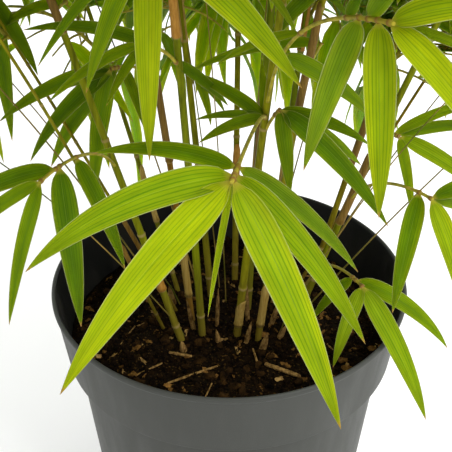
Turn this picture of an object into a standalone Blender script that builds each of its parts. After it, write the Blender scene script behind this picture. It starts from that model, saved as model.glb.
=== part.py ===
"""A potted clumping bamboo: slender culms rising from one clump in a plastic pot, under a
fountain of leafy sprays. Metres, +Z up, origin at the centre of the pot's flat underside.
The front is -Y. A heading is in degrees round +Z: 0 to the front, 90 to the right (+X),
180 to the back and -90 to the left. A rise is in degrees above the horizontal.
"""

import math
import random

import bmesh
import bpy
from mathutils import Vector
from mathutils.bvhtree import BVHTree

GAP = 0.0003  # clearance between pieces that touch on the real plant

# Pot: a round nursery pot with a deep collar under its rim
POT_HEIGHT = 0.200
POT_RIM_RADIUS = 0.110
POT_COLLAR_DEPTH = 0.0457
POT_COLLAR_FOOT_RADIUS = 0.1035
POT_WALL_TOP_RADIUS = 0.0978
POT_FOOT_RADIUS = 0.0827
POT_WALL = 0.0030
POT_LIP_HEIGHT = 0.0030
POT_LIP_PROUD = 0.0012
POT_STEP = 0.0020
POT_EDGE = 0.0010
POT_SIDES = 40

# Soil: fills the pot to a little under the rim
SOIL_TOP = 0.165
SOIL_EDGE_DROP = 0.004
SOIL_LEVEL_SHARE = 0.72
SOIL_CLEAR = 0.0005

# Culms: the foot on the soil (x, y), the heading and lean at the foot, how much further it
# leans by its tip, its length and its thickness at the foot
CULM_SIDES = 6
CULM_RINGS = 7
CULM_TIP_SHARE = 0.60
CULM_FOOT = 0.004  # the slanting lowest ring lies within this height of the soil
CULMS = {
    "culm_left": (-0.030, -0.020, -84, 14.5, 3, 0.42, 0.0046),
    "culm_front_left": (-0.017, -0.014, -16, 8, 12, 0.49, 0.0046),
    "culm_brown": (-0.024, 0.002, -85, 5, 14, 0.47, 0.0040),
    "culm_front": (0.005, -0.014, 22, 11, 12, 0.48, 0.0048),
    "culm_front_right": (0.018, -0.019, 40, 8, 17, 0.43, 0.0042),
    "culm_right": (0.039, -0.010, 74, 16.5, 10, 0.41, 0.0044),
    "culm_thin_right": (0.040, 0.021, 98, 25, 8, 0.29, 0.0030),
    "culm_thin_left": (-0.035, 0.011, -76, 22, 6, 0.35, 0.0030),
    "culm_middle": (0.012, 0.012, 120, 3, 10, 0.53, 0.0048),
    "culm_back_left": (-0.012, 0.026, -150, 9, 15, 0.46, 0.0044),
    "culm_back_right": (0.026, 0.032, 146, 10, 15, 0.45, 0.0044),
    "culm_back": (0.004, 0.042, 178, 14, 14, 0.42, 0.0042),
    "culm_far_left": (-0.034, 0.030, -124, 17, 12, 0.38, 0.0038),
    "culm_far_right": (0.046, 0.006, 112, 15, 14, 0.42, 0.0040),
    "culm_low_left": (-0.042, -0.008, -40, 21, 10, 0.33, 0.0030),
}

# Twigs and leaves
STEM_RADIUS = 0.0013
TWIG_RADIUS = 0.0010
TWIG_TIP_SHARE = 0.8
STEM_SIDES = 3
STEM_RINGS = 5
BRANCH_RINGS = 4
TWIG_RINGS = 2
LEAF_WIDTH = 0.142  # of its length
LEAF_THICKNESS = 0.013  # of its length
LEAF_SHOULDER = 0.24  # where along it a leaf is widest
LEAF_WAIST = 0.66
LEAF_WAIST_WIDTH = 0.74  # of the widest
FINE_LEAF = ((LEAF_SHOULDER, 1.0), (LEAF_WAIST, LEAF_WAIST_WIDTH))
PLAIN_LEAF = ((0.36, 1.0),)  # the crown's leaves have one widest place
LEAF_ROOT = 0.0009  # how far the root goes past the twig's middle
GUARD = 0.0004  # clearance a twig or leaf keeps to anything that isn't its own twig
LAST_LEAF = 0.985  # the share of its twig where the last leaf sits
LEAF_FOOT = 0.16  # share of a leaf at its own twig that may touch its neighbours there
LEAF_STEPS = 6
FRONT_LIGHT = Vector((0.0, -0.80, 0.60))  # what the front sprays' leaves turn to
SKY_LIGHT = Vector((0.0, 0.0, 1.0))  # the crown's leaves turn to the sky, and outwards
OUTWARD = 0.35

# The sprays that hang to the front and sides: the culm, the height where the stem leaves it,
# the stem's heading, rise, droop, turn and length, then its leaves, each with its place along
# the stem, its heading, rise, droop and length, and its width in shares of LEAF_WIDTH
SPRAYS = {
    "leaves_centre": ("culm_front", 0.334, -8, 15, 62, -6, 0.136, (
        (0.90, 74, -42, 30, 0.068, 0.85),
        (0.91, -98, -3, 40, 0.057, 0.90),
        (0.95, 58, -45, 28, 0.088, 0.92),
        (0.96, -75, -21, 60, 0.092, 1.02),
        (1.00, 44, -55, 26, 0.109, 0.98),
        (1.00, -61, -46, 32, 0.109, 0.98),
        (1.00, -17, -58, 12, 0.055, 0.38),
        (0.05, -74, -22, 34, 0.041, 1.30),
    )),
    "leaves_top_right": ("culm_front", 0.341, 15, 33.5, 48, 20, 0.158, (
        (0.80, 9, 36, 30, 0.046, 0.80),
        (0.90, 30, 34, 34, 0.052, 1.05),
        (0.86, -34, -52, 22, 0.060, 1.28),
        (0.94, 1, -64, 16, 0.070, 1.22),
        (1.00, 46, -40, 24, 0.080, 1.00),
        (1.00, 62, 10, 40, 0.066, 1.10),
        (1.00, 82, -20, 24, 0.056, 0.50),
    )),
    "leaves_top_left": ("culm_front_left", 0.415, 0, 21, 50, 0, 0.110, (
        (0.90, -12, -78, 10, 0.083, 0.90),
        (0.94, 59, -36, 24, 0.078, 1.15),
        (0.97, -56, -60, 18, 0.062, 0.98),
        (1.00, -66, -42, 24, 0.062, 0.64),
    )),
    "leaves_left": ("culm_left", 0.292, -22, 21, 60, -14, 0.082, (
        (0.62, 57, -60, 20, 0.060, 1.05),
        (0.80, 22, -76, 14, 0.084, 1.05),
        (0.84, -87, -26, 40, 0.064, 1.05),
        (1.00, -40, -70, 14, 0.074, 0.72),
        (1.00, -76, -42, 30, 0.062, 0.84),
    )),
    "leaves_right": ("culm_right", 0.312, 40, 10, 30, 0, 0.011, (
        (0.60, 92, 24, 30, 0.070, 0.60),
        (0.80, 112, -5, 30, 0.076, 0.64),
        (1.00, 12, -58, 18, 0.044, 1.05),
        (1.00, 78, -34, 26, 0.070, 0.90),
    )),
    "leaves_low_right": ("culm_right", 0.268, 24, 28, 50, 10, 0.080, (
        (0.88, -25, -66, 18, 0.065, 1.20),
        (1.00, 55, -66, 18, 0.080, 1.02),
        (1.00, 90, 6, 44, 0.070, 0.86),
        (1.00, 116, -30, 30, 0.074, 0.90),
    )),
    "leaves_pot_right": ("culm_right", 0.218, 23, 18, 46, 6, 0.050, (
        (0.80, -116, -57, 20, 0.048, 1.02),
        (0.86, 78, -38, 44, 0.070, 1.00),
        (1.00, -46, -64, 18, 0.050, 1.25),
        (1.00, 60, -60, 18, 0.092, 0.92),
    )),
    "leaves_back_left": ("culm_brown", 0.338, -62, 12, 36, 0, 0.026, (
        (0.70, 46, -50, 30, 0.036, 1.20),
        (0.84, -90, -22, 34, 0.070, 0.85),
        (0.90, -82, -44, 30, 0.068, 0.95),
        (1.00, -38, -80, 14, 0.070, 1.02),
    )),
    "leaves_left_middle": ("culm_front_left", 0.361, -30, 34, 30, 0, 0.034, (
        (0.70, -76, 10, 40, 0.062, 0.80),
        (0.90, -41, -48, 24, 0.044, 1.10),
        (1.00, -66, -28, 30, 0.054, 0.85),
    )),
    "leaves_middle": ("culm_front", 0.321, 32, 50, 20, 0, 0.014, (
        (0.90, 84, -20, 36, 0.054, 1.05),
        (1.00, 66, -44, 26, 0.080, 0.95),
        (1.00, -4, -66, 16, 0.048, 1.40),
    )),
}

# The rest of the crown: side branches on the culms, each with the culm, the height where it
# leaves it, its heading and its length
BRANCHES = {
    "leaves_side_1": ("culm_far_left", 0.32, -112, 0.070),
    "leaves_side_2": ("culm_back_left", 0.34, -160, 0.085),
    "leaves_side_3": ("culm_back", 0.34, 165, 0.070),
    "leaves_side_4": ("culm_back_right", 0.34, 138, 0.085),
    "leaves_side_5": ("culm_far_right", 0.32, 136, 0.075),
    "leaves_side_6": ("culm_thin_left", 0.36, -92, 0.070),
    "leaves_side_7": ("culm_left", 0.43, -64, 0.090),
    "leaves_side_8": ("culm_far_left", 0.40, -146, 0.085),
    "leaves_side_9": ("culm_back", 0.42, 158, 0.085),
    "leaves_side_10": ("culm_far_right", 0.41, 82, 0.085),
    "leaves_side_11": ("culm_front_right", 0.50, 56, 0.095),
    "leaves_side_12": ("culm_front_left", 0.52, -48, 0.095),
    "leaves_side_13": ("culm_front", 0.53, 0, 0.095),
    "leaves_side_14": ("culm_middle", 0.56, -176, 0.095),
    "leaves_side_15": ("culm_back_left", 0.50, -112, 0.095),
    "leaves_side_16": ("culm_back_right", 0.50, 108, 0.095),
    "leaves_side_17": ("culm_brown", 0.48, -90, 0.085),
    "leaves_side_18": ("culm_middle", 0.44, 60, 0.070),
}
BRANCH_RISE = 20
BRANCH_DROOP = 60
BRANCH_TWIGS = 3
TIP_LENGTH = 0.150
TIP_DROOP = 44
TIP_TWIGS = 4
TWIG_FIRST = 0.30  # where along a branch its first side twig is, and how far the last is on
TWIG_SPAN = 0.54
TWIG_SPREADS = (44, 80)  # degrees off the branch's heading
TWIG_RISES = (-22, 12)
TWIG_LENGTHS = (0.40, 0.60)  # of the branch's
TWIG_DROOP = 30
TWIG_FOOT = 0.2  # share of a twig at its branch that may touch its neighbours there
TWIG_LEAVES = 3
STEM_LEAVES = 4
LEAF_SPACING = 0.16  # between leaves, in shares of their twig
END_SPREADS = (6, 20)  # degrees off the twig's heading, for its last leaf and for the others
SIDE_SPREADS = (34, 66)
LEAF_DROPS = (14, 52)  # degrees that a leaf starts below its twig's rise
LEAF_DROOPS = (22, 46)
LEAF_LENGTHS = (0.084, 0.108)
LEAF_LOSS = 0.06  # how much shorter each leaf is than the one nearer the twig's tip
LEAF_WIDTHS = (1.02, 1.20)
SPACE_REACH = 0.130  # how far from its stem a leaf's tip may be

# The crown's open front: under this sloping line the foliage leaves the pot and stems in view
OPEN_FRONT_Y = -0.045
OPEN_FRONT_FOOT = 0.400
OPEN_FRONT_SLOPE = 0.373
OPEN_FRONT_HALF_WIDTH = 0.108
OPEN_FRONT_TAPER = 0.23
OPEN_BACK_FOOT = 0.262  # in front of the clump's middle the foliage ends this high
OPEN_BACK_Y = 0.05


def clear_scene():
    for obj in list(bpy.data.objects):
        bpy.data.objects.remove(obj, do_unlink=True)


def finish(name, colour, roughness):
    material = bpy.data.materials.new(name)
    material.use_nodes = True
    shader = material.node_tree.nodes["Principled BSDF"]
    shader.inputs["Base Color"].default_value = (*colour, 1.0)
    shader.inputs["Roughness"].default_value = roughness
    material.diffuse_color = (*colour, 1.0)
    return material


def object_of(name, mesh, material):
    mesh.materials.append(material)
    obj = bpy.data.objects.new(name, mesh)
    bpy.context.scene.collection.objects.link(obj)
    return obj


def direction(heading, rise):
    turned = math.radians(heading)
    raised = math.radians(rise)
    return Vector((
        math.sin(turned) * math.cos(raised),
        -math.cos(turned) * math.cos(raised),
        math.sin(raised),
    ))


def arc(start, heading, rise, droop, turn, length, steps):
    """Points along a limb that bends down by droop and round by turn from its foot to its tip."""
    points = [start.copy()]
    for step in range(steps):
        share = (step + 0.5) / steps - 0.5
        step_direction = direction(heading + turn * share, rise - droop * share)
        points.append(points[-1] + step_direction * (length / steps))
    return points


def along(points, share):
    """The point at this share of the way along, and the direction there."""
    place = min(max(share, 0.0), 1.0) * (len(points) - 1)
    first = min(int(place), len(points) - 2)
    step = points[first + 1] - points[first]
    return points[first] + step * (place - first), step.normalized()


def ring_axes(tangent):
    side = tangent.cross(Vector((0.0, 0.0, 1.0)))
    if side.length < 0.05:
        side = tangent.cross(Vector((1.0, 0.0, 0.0)))
    side.normalize()
    return side, side.cross(tangent)


def loft(sections):
    """A closed mesh through sections of equal count, where a section of one point is a tip."""
    shape = bmesh.new()
    rings = [[shape.verts.new(point) for point in section] for section in sections]
    for lower, upper in zip(rings, rings[1:]):
        count = max(len(lower), len(upper))
        for i in range(count):
            j = (i + 1) % count
            if len(lower) == 1:
                shape.faces.new((lower[0], upper[j], upper[i]))
            elif len(upper) == 1:
                shape.faces.new((lower[i], lower[j], upper[0]))
            else:
                shape.faces.new((lower[i], lower[j], upper[j], upper[i]))
    for ring in (rings[0], rings[-1]):
        if len(ring) > 2:
            shape.faces.new(ring)
    bmesh.ops.recalc_face_normals(shape, faces=shape.faces)
    return shape


def tube(points, first_radius, last_radius, sides):
    """A tapering limb through these points, with one corner of each section on top."""
    sections = []
    for index, point in enumerate(points):
        before = points[max(index - 1, 0)]
        after = points[min(index + 1, len(points) - 1)]
        side, up = ring_axes((after - before).normalized())
        radius = first_radius + (last_radius - first_radius) * index / (len(points) - 1)
        section = []
        for corner in range(sides):
            angle = math.pi / 2 + 2 * math.pi * corner / sides
            section.append(point + (side * math.cos(angle) + up * math.sin(angle)) * radius)
        sections.append(section)
    return loft(sections)


def leaf(root, heading, rise, droop, length, width, light, breadths, guard=0.0, first=0.0):
    """A lance-shaped blade on an arc, flat above and keeled below, turned to face the light.
    With a guard it is the space that the blade needs from the share called first to its tip.
    """
    rib = arc(root, heading, rise, droop, 0, length, LEAF_STEPS)
    half = length * LEAF_WIDTH * width / 2 + guard
    keel = length * LEAF_THICKNESS + guard
    sections = [[along(rib, first)[0] - direction(heading, rise) * LEAF_ROOT]]
    for share, breadth in breadths:
        point, tangent = along(rib, share)
        across = tangent.cross(light).normalized()
        above = across.cross(tangent)
        sections.append([
            point + across * half * breadth + above * guard,
            point - above * keel,
            point - across * half * breadth + above * guard,
        ])
    sections.append([rib[-1] + direction(heading, rise - droop / 2) * guard])
    return loft(sections)


def leaf_fits(room, name, root, sizes, light, breadths):
    """Whether the leaf clears everything else whole, and its own branch past its foot."""
    whole = leaf(root, *sizes, light, breadths, guard=GUARD)
    if room.in_the_way(whole, ignored=(name,)):
        return False
    return not room.in_the_way(leaf(root, *sizes, light, breadths, guard=GUARD, first=LEAF_FOOT))


def solid_of(shape, name):
    mesh = bpy.data.meshes.new(name)
    shape.to_mesh(mesh)
    return mesh


class Room:
    """What stands already, so that a new twig or leaf can be kept clear of it."""

    def __init__(self):
        self.taken = []

    def add(self, shape, owner):
        corners = [vertex.co.copy() for vertex in shape.verts]
        low = Vector(map(min, zip(*corners)))
        high = Vector(map(max, zip(*corners)))
        self.taken.append((BVHTree.FromBMesh(shape), low, high, owner))

    def in_the_way(self, guard, ignored=()):
        """The name of a piece that reaches into this space, or an empty name."""
        corners = [vertex.co for vertex in guard.verts]
        low = Vector(map(min, zip(*corners)))
        high = Vector(map(max, zip(*corners)))
        tree = BVHTree.FromBMesh(guard)
        for other, other_low, other_high, owner in self.taken:
            if owner in ignored:
                continue
            if any(low[i] > other_high[i] or high[i] < other_low[i] for i in range(3)):
                continue
            if tree.overlap(other):
                return owner
        return ""


def in_open_front(point):
    """Whether this point is where the real plant's front is open, below the front foliage."""
    half_width = OPEN_FRONT_HALF_WIDTH + OPEN_FRONT_TAPER * (point.y - OPEN_FRONT_Y)
    if abs(point.x) > half_width:
        return False
    if point.y < OPEN_FRONT_Y:
        return point.z < OPEN_FRONT_FOOT + OPEN_FRONT_SLOPE * (OPEN_FRONT_Y - point.y)
    return point.y < OPEN_BACK_Y and point.z < OPEN_BACK_FOOT


def pot_inner_wall():
    """The pot's inside from its floor to its rim, as radii and heights."""
    collar_foot = POT_HEIGHT - POT_COLLAR_DEPTH
    return (
        (POT_FOOT_RADIUS - POT_WALL, POT_WALL),
        (POT_WALL_TOP_RADIUS - POT_WALL, collar_foot),
        (POT_COLLAR_FOOT_RADIUS - POT_WALL, collar_foot + POT_STEP),
        (POT_RIM_RADIUS - POT_WALL, POT_HEIGHT - POT_EDGE),
    )


def make_pot(material):
    collar_foot = POT_HEIGHT - POT_COLLAR_DEPTH
    lip_foot = POT_HEIGHT - POT_LIP_HEIGHT
    profile = (
        (0.0, 0.0),
        (POT_FOOT_RADIUS - POT_STEP, 0.0),
        (POT_FOOT_RADIUS, POT_STEP),
        (POT_WALL_TOP_RADIUS, collar_foot + POT_EDGE),
        (POT_COLLAR_FOOT_RADIUS, collar_foot),
        (POT_RIM_RADIUS - POT_LIP_PROUD, lip_foot - POT_EDGE),
        (POT_RIM_RADIUS, lip_foot),
        (POT_RIM_RADIUS, POT_HEIGHT - POT_EDGE),
        (POT_RIM_RADIUS - POT_EDGE, POT_HEIGHT),
        *reversed(pot_inner_wall()),
        (0.0, POT_WALL),
    )
    shape = bmesh.new()
    line = [shape.verts.new((radius, 0.0, height)) for radius, height in profile]
    edges = [shape.edges.new(pair) for pair in zip(line, line[1:])]
    bmesh.ops.spin(
        shape, geom=line + edges, axis=(0, 0, 1), cent=(0, 0, 0),
        angle=2 * math.pi, steps=POT_SIDES, use_merge=True,
    )
    bmesh.ops.remove_doubles(shape, verts=shape.verts, dist=0.00001)
    bmesh.ops.recalc_face_normals(shape, faces=shape.faces)
    pot = object_of("pot", solid_of(shape, "pot"), material)
    pot.data.shade_smooth()
    pot.data.set_sharp_from_angle(angle=math.radians(35))
    return shape


def make_soil(material):
    """The soil, a hair inside the pot's wall all the way up, with a slightly crowned top."""
    floor, wall_top, step_top, rim = pot_inner_wall()
    edge_height = SOIL_TOP - SOIL_EDGE_DROP
    edge_share = (edge_height - step_top[1]) / (rim[1] - step_top[1])
    edge_radius = step_top[0] + (rim[0] - step_top[0]) * edge_share
    rings = (
        (floor[0] - SOIL_CLEAR, floor[1] + GAP),
        (wall_top[0] - SOIL_CLEAR, wall_top[1] + SOIL_CLEAR),
        (step_top[0] - SOIL_CLEAR, step_top[1] + SOIL_CLEAR),
        (edge_radius - SOIL_CLEAR, edge_height),
        (edge_radius * SOIL_LEVEL_SHARE, SOIL_TOP),
    )
    sections = []
    for radius, height in rings:
        section = []
        for corner in range(POT_SIDES):
            angle = 2 * math.pi * corner / POT_SIDES
            section.append(Vector((radius * math.cos(angle), radius * math.sin(angle), height)))
        sections.append(section)
    shape = loft(sections)
    object_of("soil", solid_of(shape, "soil"), material)
    return shape


def culm_line(culm):
    foot_x, foot_y, heading, lean, bend, length, _ = CULMS[culm]
    steps = CULM_RINGS
    points = [Vector((foot_x, foot_y, SOIL_TOP + GAP))]
    for step in range(steps):
        share = (step + 0.5) / steps
        rise = 90 - lean - bend * share**2
        points.append(points[-1] + direction(heading, rise) * (length / steps))
    return points


def culm_at(culm, height):
    """The culm's middle, direction and radius where it passes this height."""
    points = culm_line(culm)
    radius = CULMS[culm][-1] / 2
    for index, (lower, upper) in enumerate(zip(points, points[1:])):
        if upper.z >= height:
            share = (height - lower.z) / (upper.z - lower.z)
            done = (index + share) / (len(points) - 1)
            here = radius * (1 + (CULM_TIP_SHARE - 1) * done)
            return lower.lerp(upper, share), (upper - lower).normalized(), here
    return points[-1], (points[-1] - points[-2]).normalized(), radius * CULM_TIP_SHARE


def make_culms(material):
    shapes = {}
    for culm, sizes in CULMS.items():
        points = culm_line(culm)
        radius = sizes[-1] / 2
        shape = tube(points, radius, radius * CULM_TIP_SHARE, CULM_SIDES)
        flatten_foot(shape)
        object_of(culm, solid_of(shape, culm), material)
        shapes[culm] = shape
    return shapes


def flatten_foot(shape):
    """Brings a culm's lowest ring to the flat cut where it enters the soil."""
    for vertex in shape.verts:
        if vertex.co.z < SOIL_TOP + CULM_FOOT:
            vertex.co.z = SOIL_TOP + GAP


def stem_start(culm, height, heading, rise, radius):
    """Where a stem begins so that its whole end stands clear of the culm it grows from."""
    middle, culm_direction, culm_radius = culm_at(culm, height)
    lead = direction(heading, rise)
    along_culm = abs(lead.dot(culm_direction))
    across_culm = math.sqrt(max(1 - along_culm**2, 0.04))
    return middle + lead * ((culm_radius + radius * along_culm + GAP) / across_culm)


def join(name, pieces, material):
    """One closed solid out of a stem and the twigs and leaves sunk into it."""
    parts = bpy.data.collections.new(name + "_parts")
    bpy.context.scene.collection.children.link(parts)
    for index, piece in enumerate(pieces[1:]):
        member = bpy.data.objects.new(f"{name}_{index}", solid_of(piece, name))
        parts.objects.link(member)
    whole = object_of(name, solid_of(pieces[0], name), material)
    union = whole.modifiers.new("union", "BOOLEAN")
    union.operation = "UNION"
    union.operand_type = "COLLECTION"
    union.collection = parts
    union.solver = "EXACT"
    graph = bpy.context.evaluated_depsgraph_get()
    joined = bpy.data.meshes.new_from_object(whole.evaluated_get(graph))
    whole.modifiers.remove(union)
    whole.data = joined
    for member in list(parts.objects):
        bpy.data.objects.remove(member, do_unlink=True)
    bpy.data.collections.remove(parts)


def make_spray(name, room, material):
    """A spray set by hand: one arching stem with a fan of leaves near its end."""
    culm, height, heading, rise, droop, turn, length, leaves = SPRAYS[name]
    start = stem_start(culm, height, heading - turn / 2, rise + droop / 2, STEM_RADIUS)
    stem = arc(start, heading, rise, droop, turn, length, STEM_RINGS)
    pieces = [tube(stem, STEM_RADIUS, TWIG_RADIUS, STEM_SIDES)]
    for place, *sizes in leaves:
        root, _ = along(stem, min(place, LAST_LEAF))
        if leaf_fits(room, name, root, sizes, FRONT_LIGHT, FINE_LEAF):
            pieces.append(leaf(root, *sizes, FRONT_LIGHT, FINE_LEAF))
            room.add(pieces[-1], name)
        else:
            print(name, "left out a leaf at", place, sizes[0])
    room.add(pieces[0], name)
    join(name, pieces, material)
    return len(pieces) - 1


def twig_plan(stem, heading, rise, length, count, chance):
    """The side twigs of a branch, alternating left and right along its stem."""
    plan = []
    for index in range(count):
        share = TWIG_FIRST + TWIG_SPAN * index / (count - 1)
        side = 1 if index % 2 else -1
        root, _ = along(stem, share)
        plan.append((
            root,
            heading + side * chance.uniform(*TWIG_SPREADS),
            rise + chance.uniform(*TWIG_RISES),
            length * chance.uniform(*TWIG_LENGTHS),
        ))
    return plan


def leaf_plan(twig, heading, rise, count, chance):
    """The leaves at a twig's end: one at the tip, the others alternating behind it."""
    plan = []
    for index in range(count):
        share = LAST_LEAF - index * LEAF_SPACING
        side = 1 if index % 2 else -1
        spread = chance.uniform(*(SIDE_SPREADS if index else END_SPREADS))
        root, _ = along(twig, share)
        plan.append((
            root,
            heading + side * spread,
            rise - chance.uniform(*LEAF_DROPS),
            chance.uniform(*LEAF_DROOPS),
            chance.uniform(*LEAF_LENGTHS) * (1 - LEAF_LOSS * index),
            chance.uniform(*LEAF_WIDTHS),
        ))
    return plan


def from_stem(point, stem):
    return min((point - other).length for other in stem)


def make_branch(name, start, heading, rise, droop, length, twigs, room, material, seed):
    """A branch grown by rule: a stem, side twigs, and leaves at every tip."""
    chance = random.Random(seed)
    stem = arc(start, heading, rise, droop, 0, length, BRANCH_RINGS)
    pieces = [tube(stem, STEM_RADIUS, TWIG_RADIUS, STEM_SIDES)]
    outer_stem = tube(stem[1:], STEM_RADIUS + GUARD, TWIG_RADIUS + GUARD, STEM_SIDES)
    if room.in_the_way(outer_stem):
        print(name, "has its stem in", room.in_the_way(outer_stem))
    room.add(pieces[0], name)
    leaves = leaf_plan(stem, heading, rise - droop / 2, STEM_LEAVES, chance)
    for root, *sizes in twig_plan(stem, heading, rise, length, twigs, chance):
        twig_heading, twig_rise, twig_length = sizes
        twig = arc(root, twig_heading, twig_rise, TWIG_DROOP, 0, twig_length, TWIG_RINGS)
        end_rise = twig_rise - TWIG_DROOP / 2
        twig_leaves = leaf_plan(twig, twig_heading, end_rise, TWIG_LEAVES, chance)
        whole = tube(twig, TWIG_RADIUS + GUARD, TWIG_RADIUS + GUARD, STEM_SIDES)
        outer_line = [along(twig, TWIG_FOOT)[0], *twig[1:]]
        outer = tube(outer_line, TWIG_RADIUS + GUARD, TWIG_RADIUS + GUARD, STEM_SIDES)
        if in_open_front(twig[-1]) or room.in_the_way(whole, (name,)) or room.in_the_way(outer):
            continue
        pieces.append(tube(twig, TWIG_RADIUS, TWIG_RADIUS * TWIG_TIP_SHARE, STEM_SIDES))
        room.add(pieces[-1], name)
        leaves += twig_leaves
    count = 0
    for root, *sizes in leaves:
        light = (SKY_LIGHT + direction(sizes[0], 0) * OUTWARD).normalized()
        tip = arc(root, *sizes[:3], 0, sizes[3], LEAF_STEPS)[-1]
        if from_stem(tip, stem) > SPACE_REACH:
            continue
        if in_open_front(tip) or in_open_front((root + tip) / 2):
            continue
        if not leaf_fits(room, name, root, sizes, light, PLAIN_LEAF):
            continue
        pieces.append(leaf(root, *sizes, light, PLAIN_LEAF))
        room.add(pieces[-1], name)
        count += 1
    join(name, pieces, material)
    return count


def main():
    clear_scene()
    pot_plastic = finish("pot_plastic", (0.085, 0.088, 0.080), 0.5)
    potting_soil = finish("potting_soil", (0.020, 0.012, 0.007), 0.95)
    culm_green = finish("culm_green", (0.16, 0.19, 0.02), 0.45)
    leaf_green = finish("leaf_green", (0.18, 0.34, 0.02), 0.5)
    room = Room()
    room.add(make_pot(pot_plastic), "pot")
    room.add(make_soil(potting_soil), "soil")
    for culm, shape in make_culms(culm_green).items():
        room.add(shape, culm)
    total = 0
    for name in SPRAYS:
        total += make_spray(name, room, leaf_green)
    for seed, culm in enumerate(CULMS):
        middle, lead, _ = culm_at(culm, math.inf)
        heading = CULMS[culm][2]
        rise = math.degrees(math.asin(lead.z)) - TIP_DROOP / 2
        start = middle + lead * GAP
        total += make_branch(
            culm.replace("culm", "leaves_tip"), start, heading, rise, TIP_DROOP, TIP_LENGTH,
            TIP_TWIGS, room, leaf_green, seed,
        )
    for seed, (name, (culm, height, heading, length)) in enumerate(BRANCHES.items(), 100):
        first_rise = BRANCH_RISE + BRANCH_DROOP / 2
        start = stem_start(culm, height, heading, first_rise, STEM_RADIUS)
        total += make_branch(
            name, start, heading, BRANCH_RISE, BRANCH_DROOP, length, BRANCH_TWIGS,
            room, leaf_green, seed,
        )
    print("leaves", total)


main()
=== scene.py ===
"""A potted clumping bamboo as it looks: a grey plastic pot, dark soil with bark in it, slender
canes with papery sheaths, and arching twigs with striped leaves. Metres, +Z up, front is -Y.
A heading is in degrees round +Z: 0 to the front, 90 to the right, 180 to the back and -90 to
the left. A rise is in degrees above the horizontal.
"""

import math
import random

import bpy
import numpy as np
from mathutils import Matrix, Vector, noise


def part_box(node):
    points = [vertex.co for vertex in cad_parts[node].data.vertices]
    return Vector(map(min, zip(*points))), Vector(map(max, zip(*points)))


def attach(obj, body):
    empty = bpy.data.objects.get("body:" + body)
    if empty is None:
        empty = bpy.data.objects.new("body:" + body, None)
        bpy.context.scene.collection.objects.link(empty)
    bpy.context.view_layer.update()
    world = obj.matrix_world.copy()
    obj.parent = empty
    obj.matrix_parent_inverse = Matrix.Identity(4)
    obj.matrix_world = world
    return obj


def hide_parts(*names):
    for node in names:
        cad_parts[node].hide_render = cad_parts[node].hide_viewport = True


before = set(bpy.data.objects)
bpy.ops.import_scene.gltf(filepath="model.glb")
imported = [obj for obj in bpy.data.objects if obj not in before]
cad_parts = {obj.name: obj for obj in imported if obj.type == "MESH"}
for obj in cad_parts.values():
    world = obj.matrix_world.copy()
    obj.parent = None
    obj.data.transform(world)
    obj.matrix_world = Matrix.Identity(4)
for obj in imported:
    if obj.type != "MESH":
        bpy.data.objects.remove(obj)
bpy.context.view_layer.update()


# The view and the studio. The camera leans over the pot from the front and looks down on it.
# The floor and the air round the plant are white, and the light is broad and soft: a large lamp
# hangs above to the right of the camera, a weaker one to the left and one behind the plant.
VIEW_TARGET = Vector((-0.002, 0.0, 0.2378))
VIEW_ELEVATION = math.radians(33.46)
VIEW_DISTANCE = 0.590
VIEW_ANGLE = math.radians(26.0)
AIR_LIGHT = 0.95
LAMPS = {
    # where it hangs, how wide it is and its power in watts
    "lamp_right": ((1.0, -0.9, 1.7), 1.1, 30.0),
    "lamp_left": ((-1.3, -0.5, 1.2), 1.2, 1.5),
    "lamp_back": ((0.2, 1.3, 1.5), 1.3, 14.0),
}
FLOOR_HALF = 4.0
FLOOR_DROP = 0.0006
FLOOR_WHITE = (0.96, 0.96, 0.955)

scene = bpy.context.scene
camera = bpy.data.objects.new("camera", bpy.data.cameras.new("camera"))
scene.collection.objects.link(camera)
view_back = Vector((0.0, -math.cos(VIEW_ELEVATION), math.sin(VIEW_ELEVATION)))
camera.location = VIEW_TARGET + view_back * VIEW_DISTANCE
camera.rotation_euler = (math.radians(90) - VIEW_ELEVATION, 0.0, 0.0)
camera.data.lens_unit = "FOV"
camera.data.angle = VIEW_ANGLE
camera.data.clip_start = 0.01
scene.camera = camera
scene.view_settings.view_transform = "Standard"

air = bpy.data.worlds.new("air")
air.use_nodes = True
white_air = air.node_tree.nodes["Background"]
white_air.inputs["Color"].default_value = (1.0, 1.0, 1.0, 1.0)
white_air.inputs["Strength"].default_value = AIR_LIGHT
scene.world = air

for lamp_name, (place, size, power) in LAMPS.items():
    lamp = bpy.data.objects.new(lamp_name, bpy.data.lights.new(lamp_name, "AREA"))
    lamp.location = place
    lamp.rotation_euler = (VIEW_TARGET - Vector(place)).to_track_quat("-Z", "Y").to_euler()
    lamp.data.size = size
    lamp.data.energy = power
    scene.collection.objects.link(lamp)


def finish(name, colour, values):
    """A material of one colour, and its shader with these values set on its own sockets."""
    material = bpy.data.materials.new(name)
    material.use_nodes = True
    shader = material.node_tree.nodes["Principled BSDF"]
    shader.inputs["Base Color"].default_value = (*colour, 1.0)
    for socket, value in values.items():
        shader.inputs[socket].default_value = value
    return material, shader


def piece_of(name, mesh):
    """A piece of the plant that stands at the origin and has this mesh."""
    piece = bpy.data.objects.new(name, mesh)
    scene.collection.objects.link(piece)
    return piece


def mesh_of(name, points, faces):
    """A smooth mesh from an array of points and a list or array of faces."""
    mesh = bpy.data.meshes.new(name)
    mesh.from_pydata([tuple(point) for point in points], [], [tuple(face) for face in faces])
    mesh.validate()
    mesh.shade_smooth()
    return mesh


floor_corners = [
    (x * FLOOR_HALF, y * FLOOR_HALF, -FLOOR_DROP) for x, y in ((-1, -1), (1, -1), (1, 1), (-1, 1))
]
floor = piece_of("floor", mesh_of("floor", floor_corners, [(0, 1, 2, 3)]))
floor.data.materials.append(finish("floor_white", FLOOR_WHITE, {"Roughness": 0.8})[0])


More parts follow.
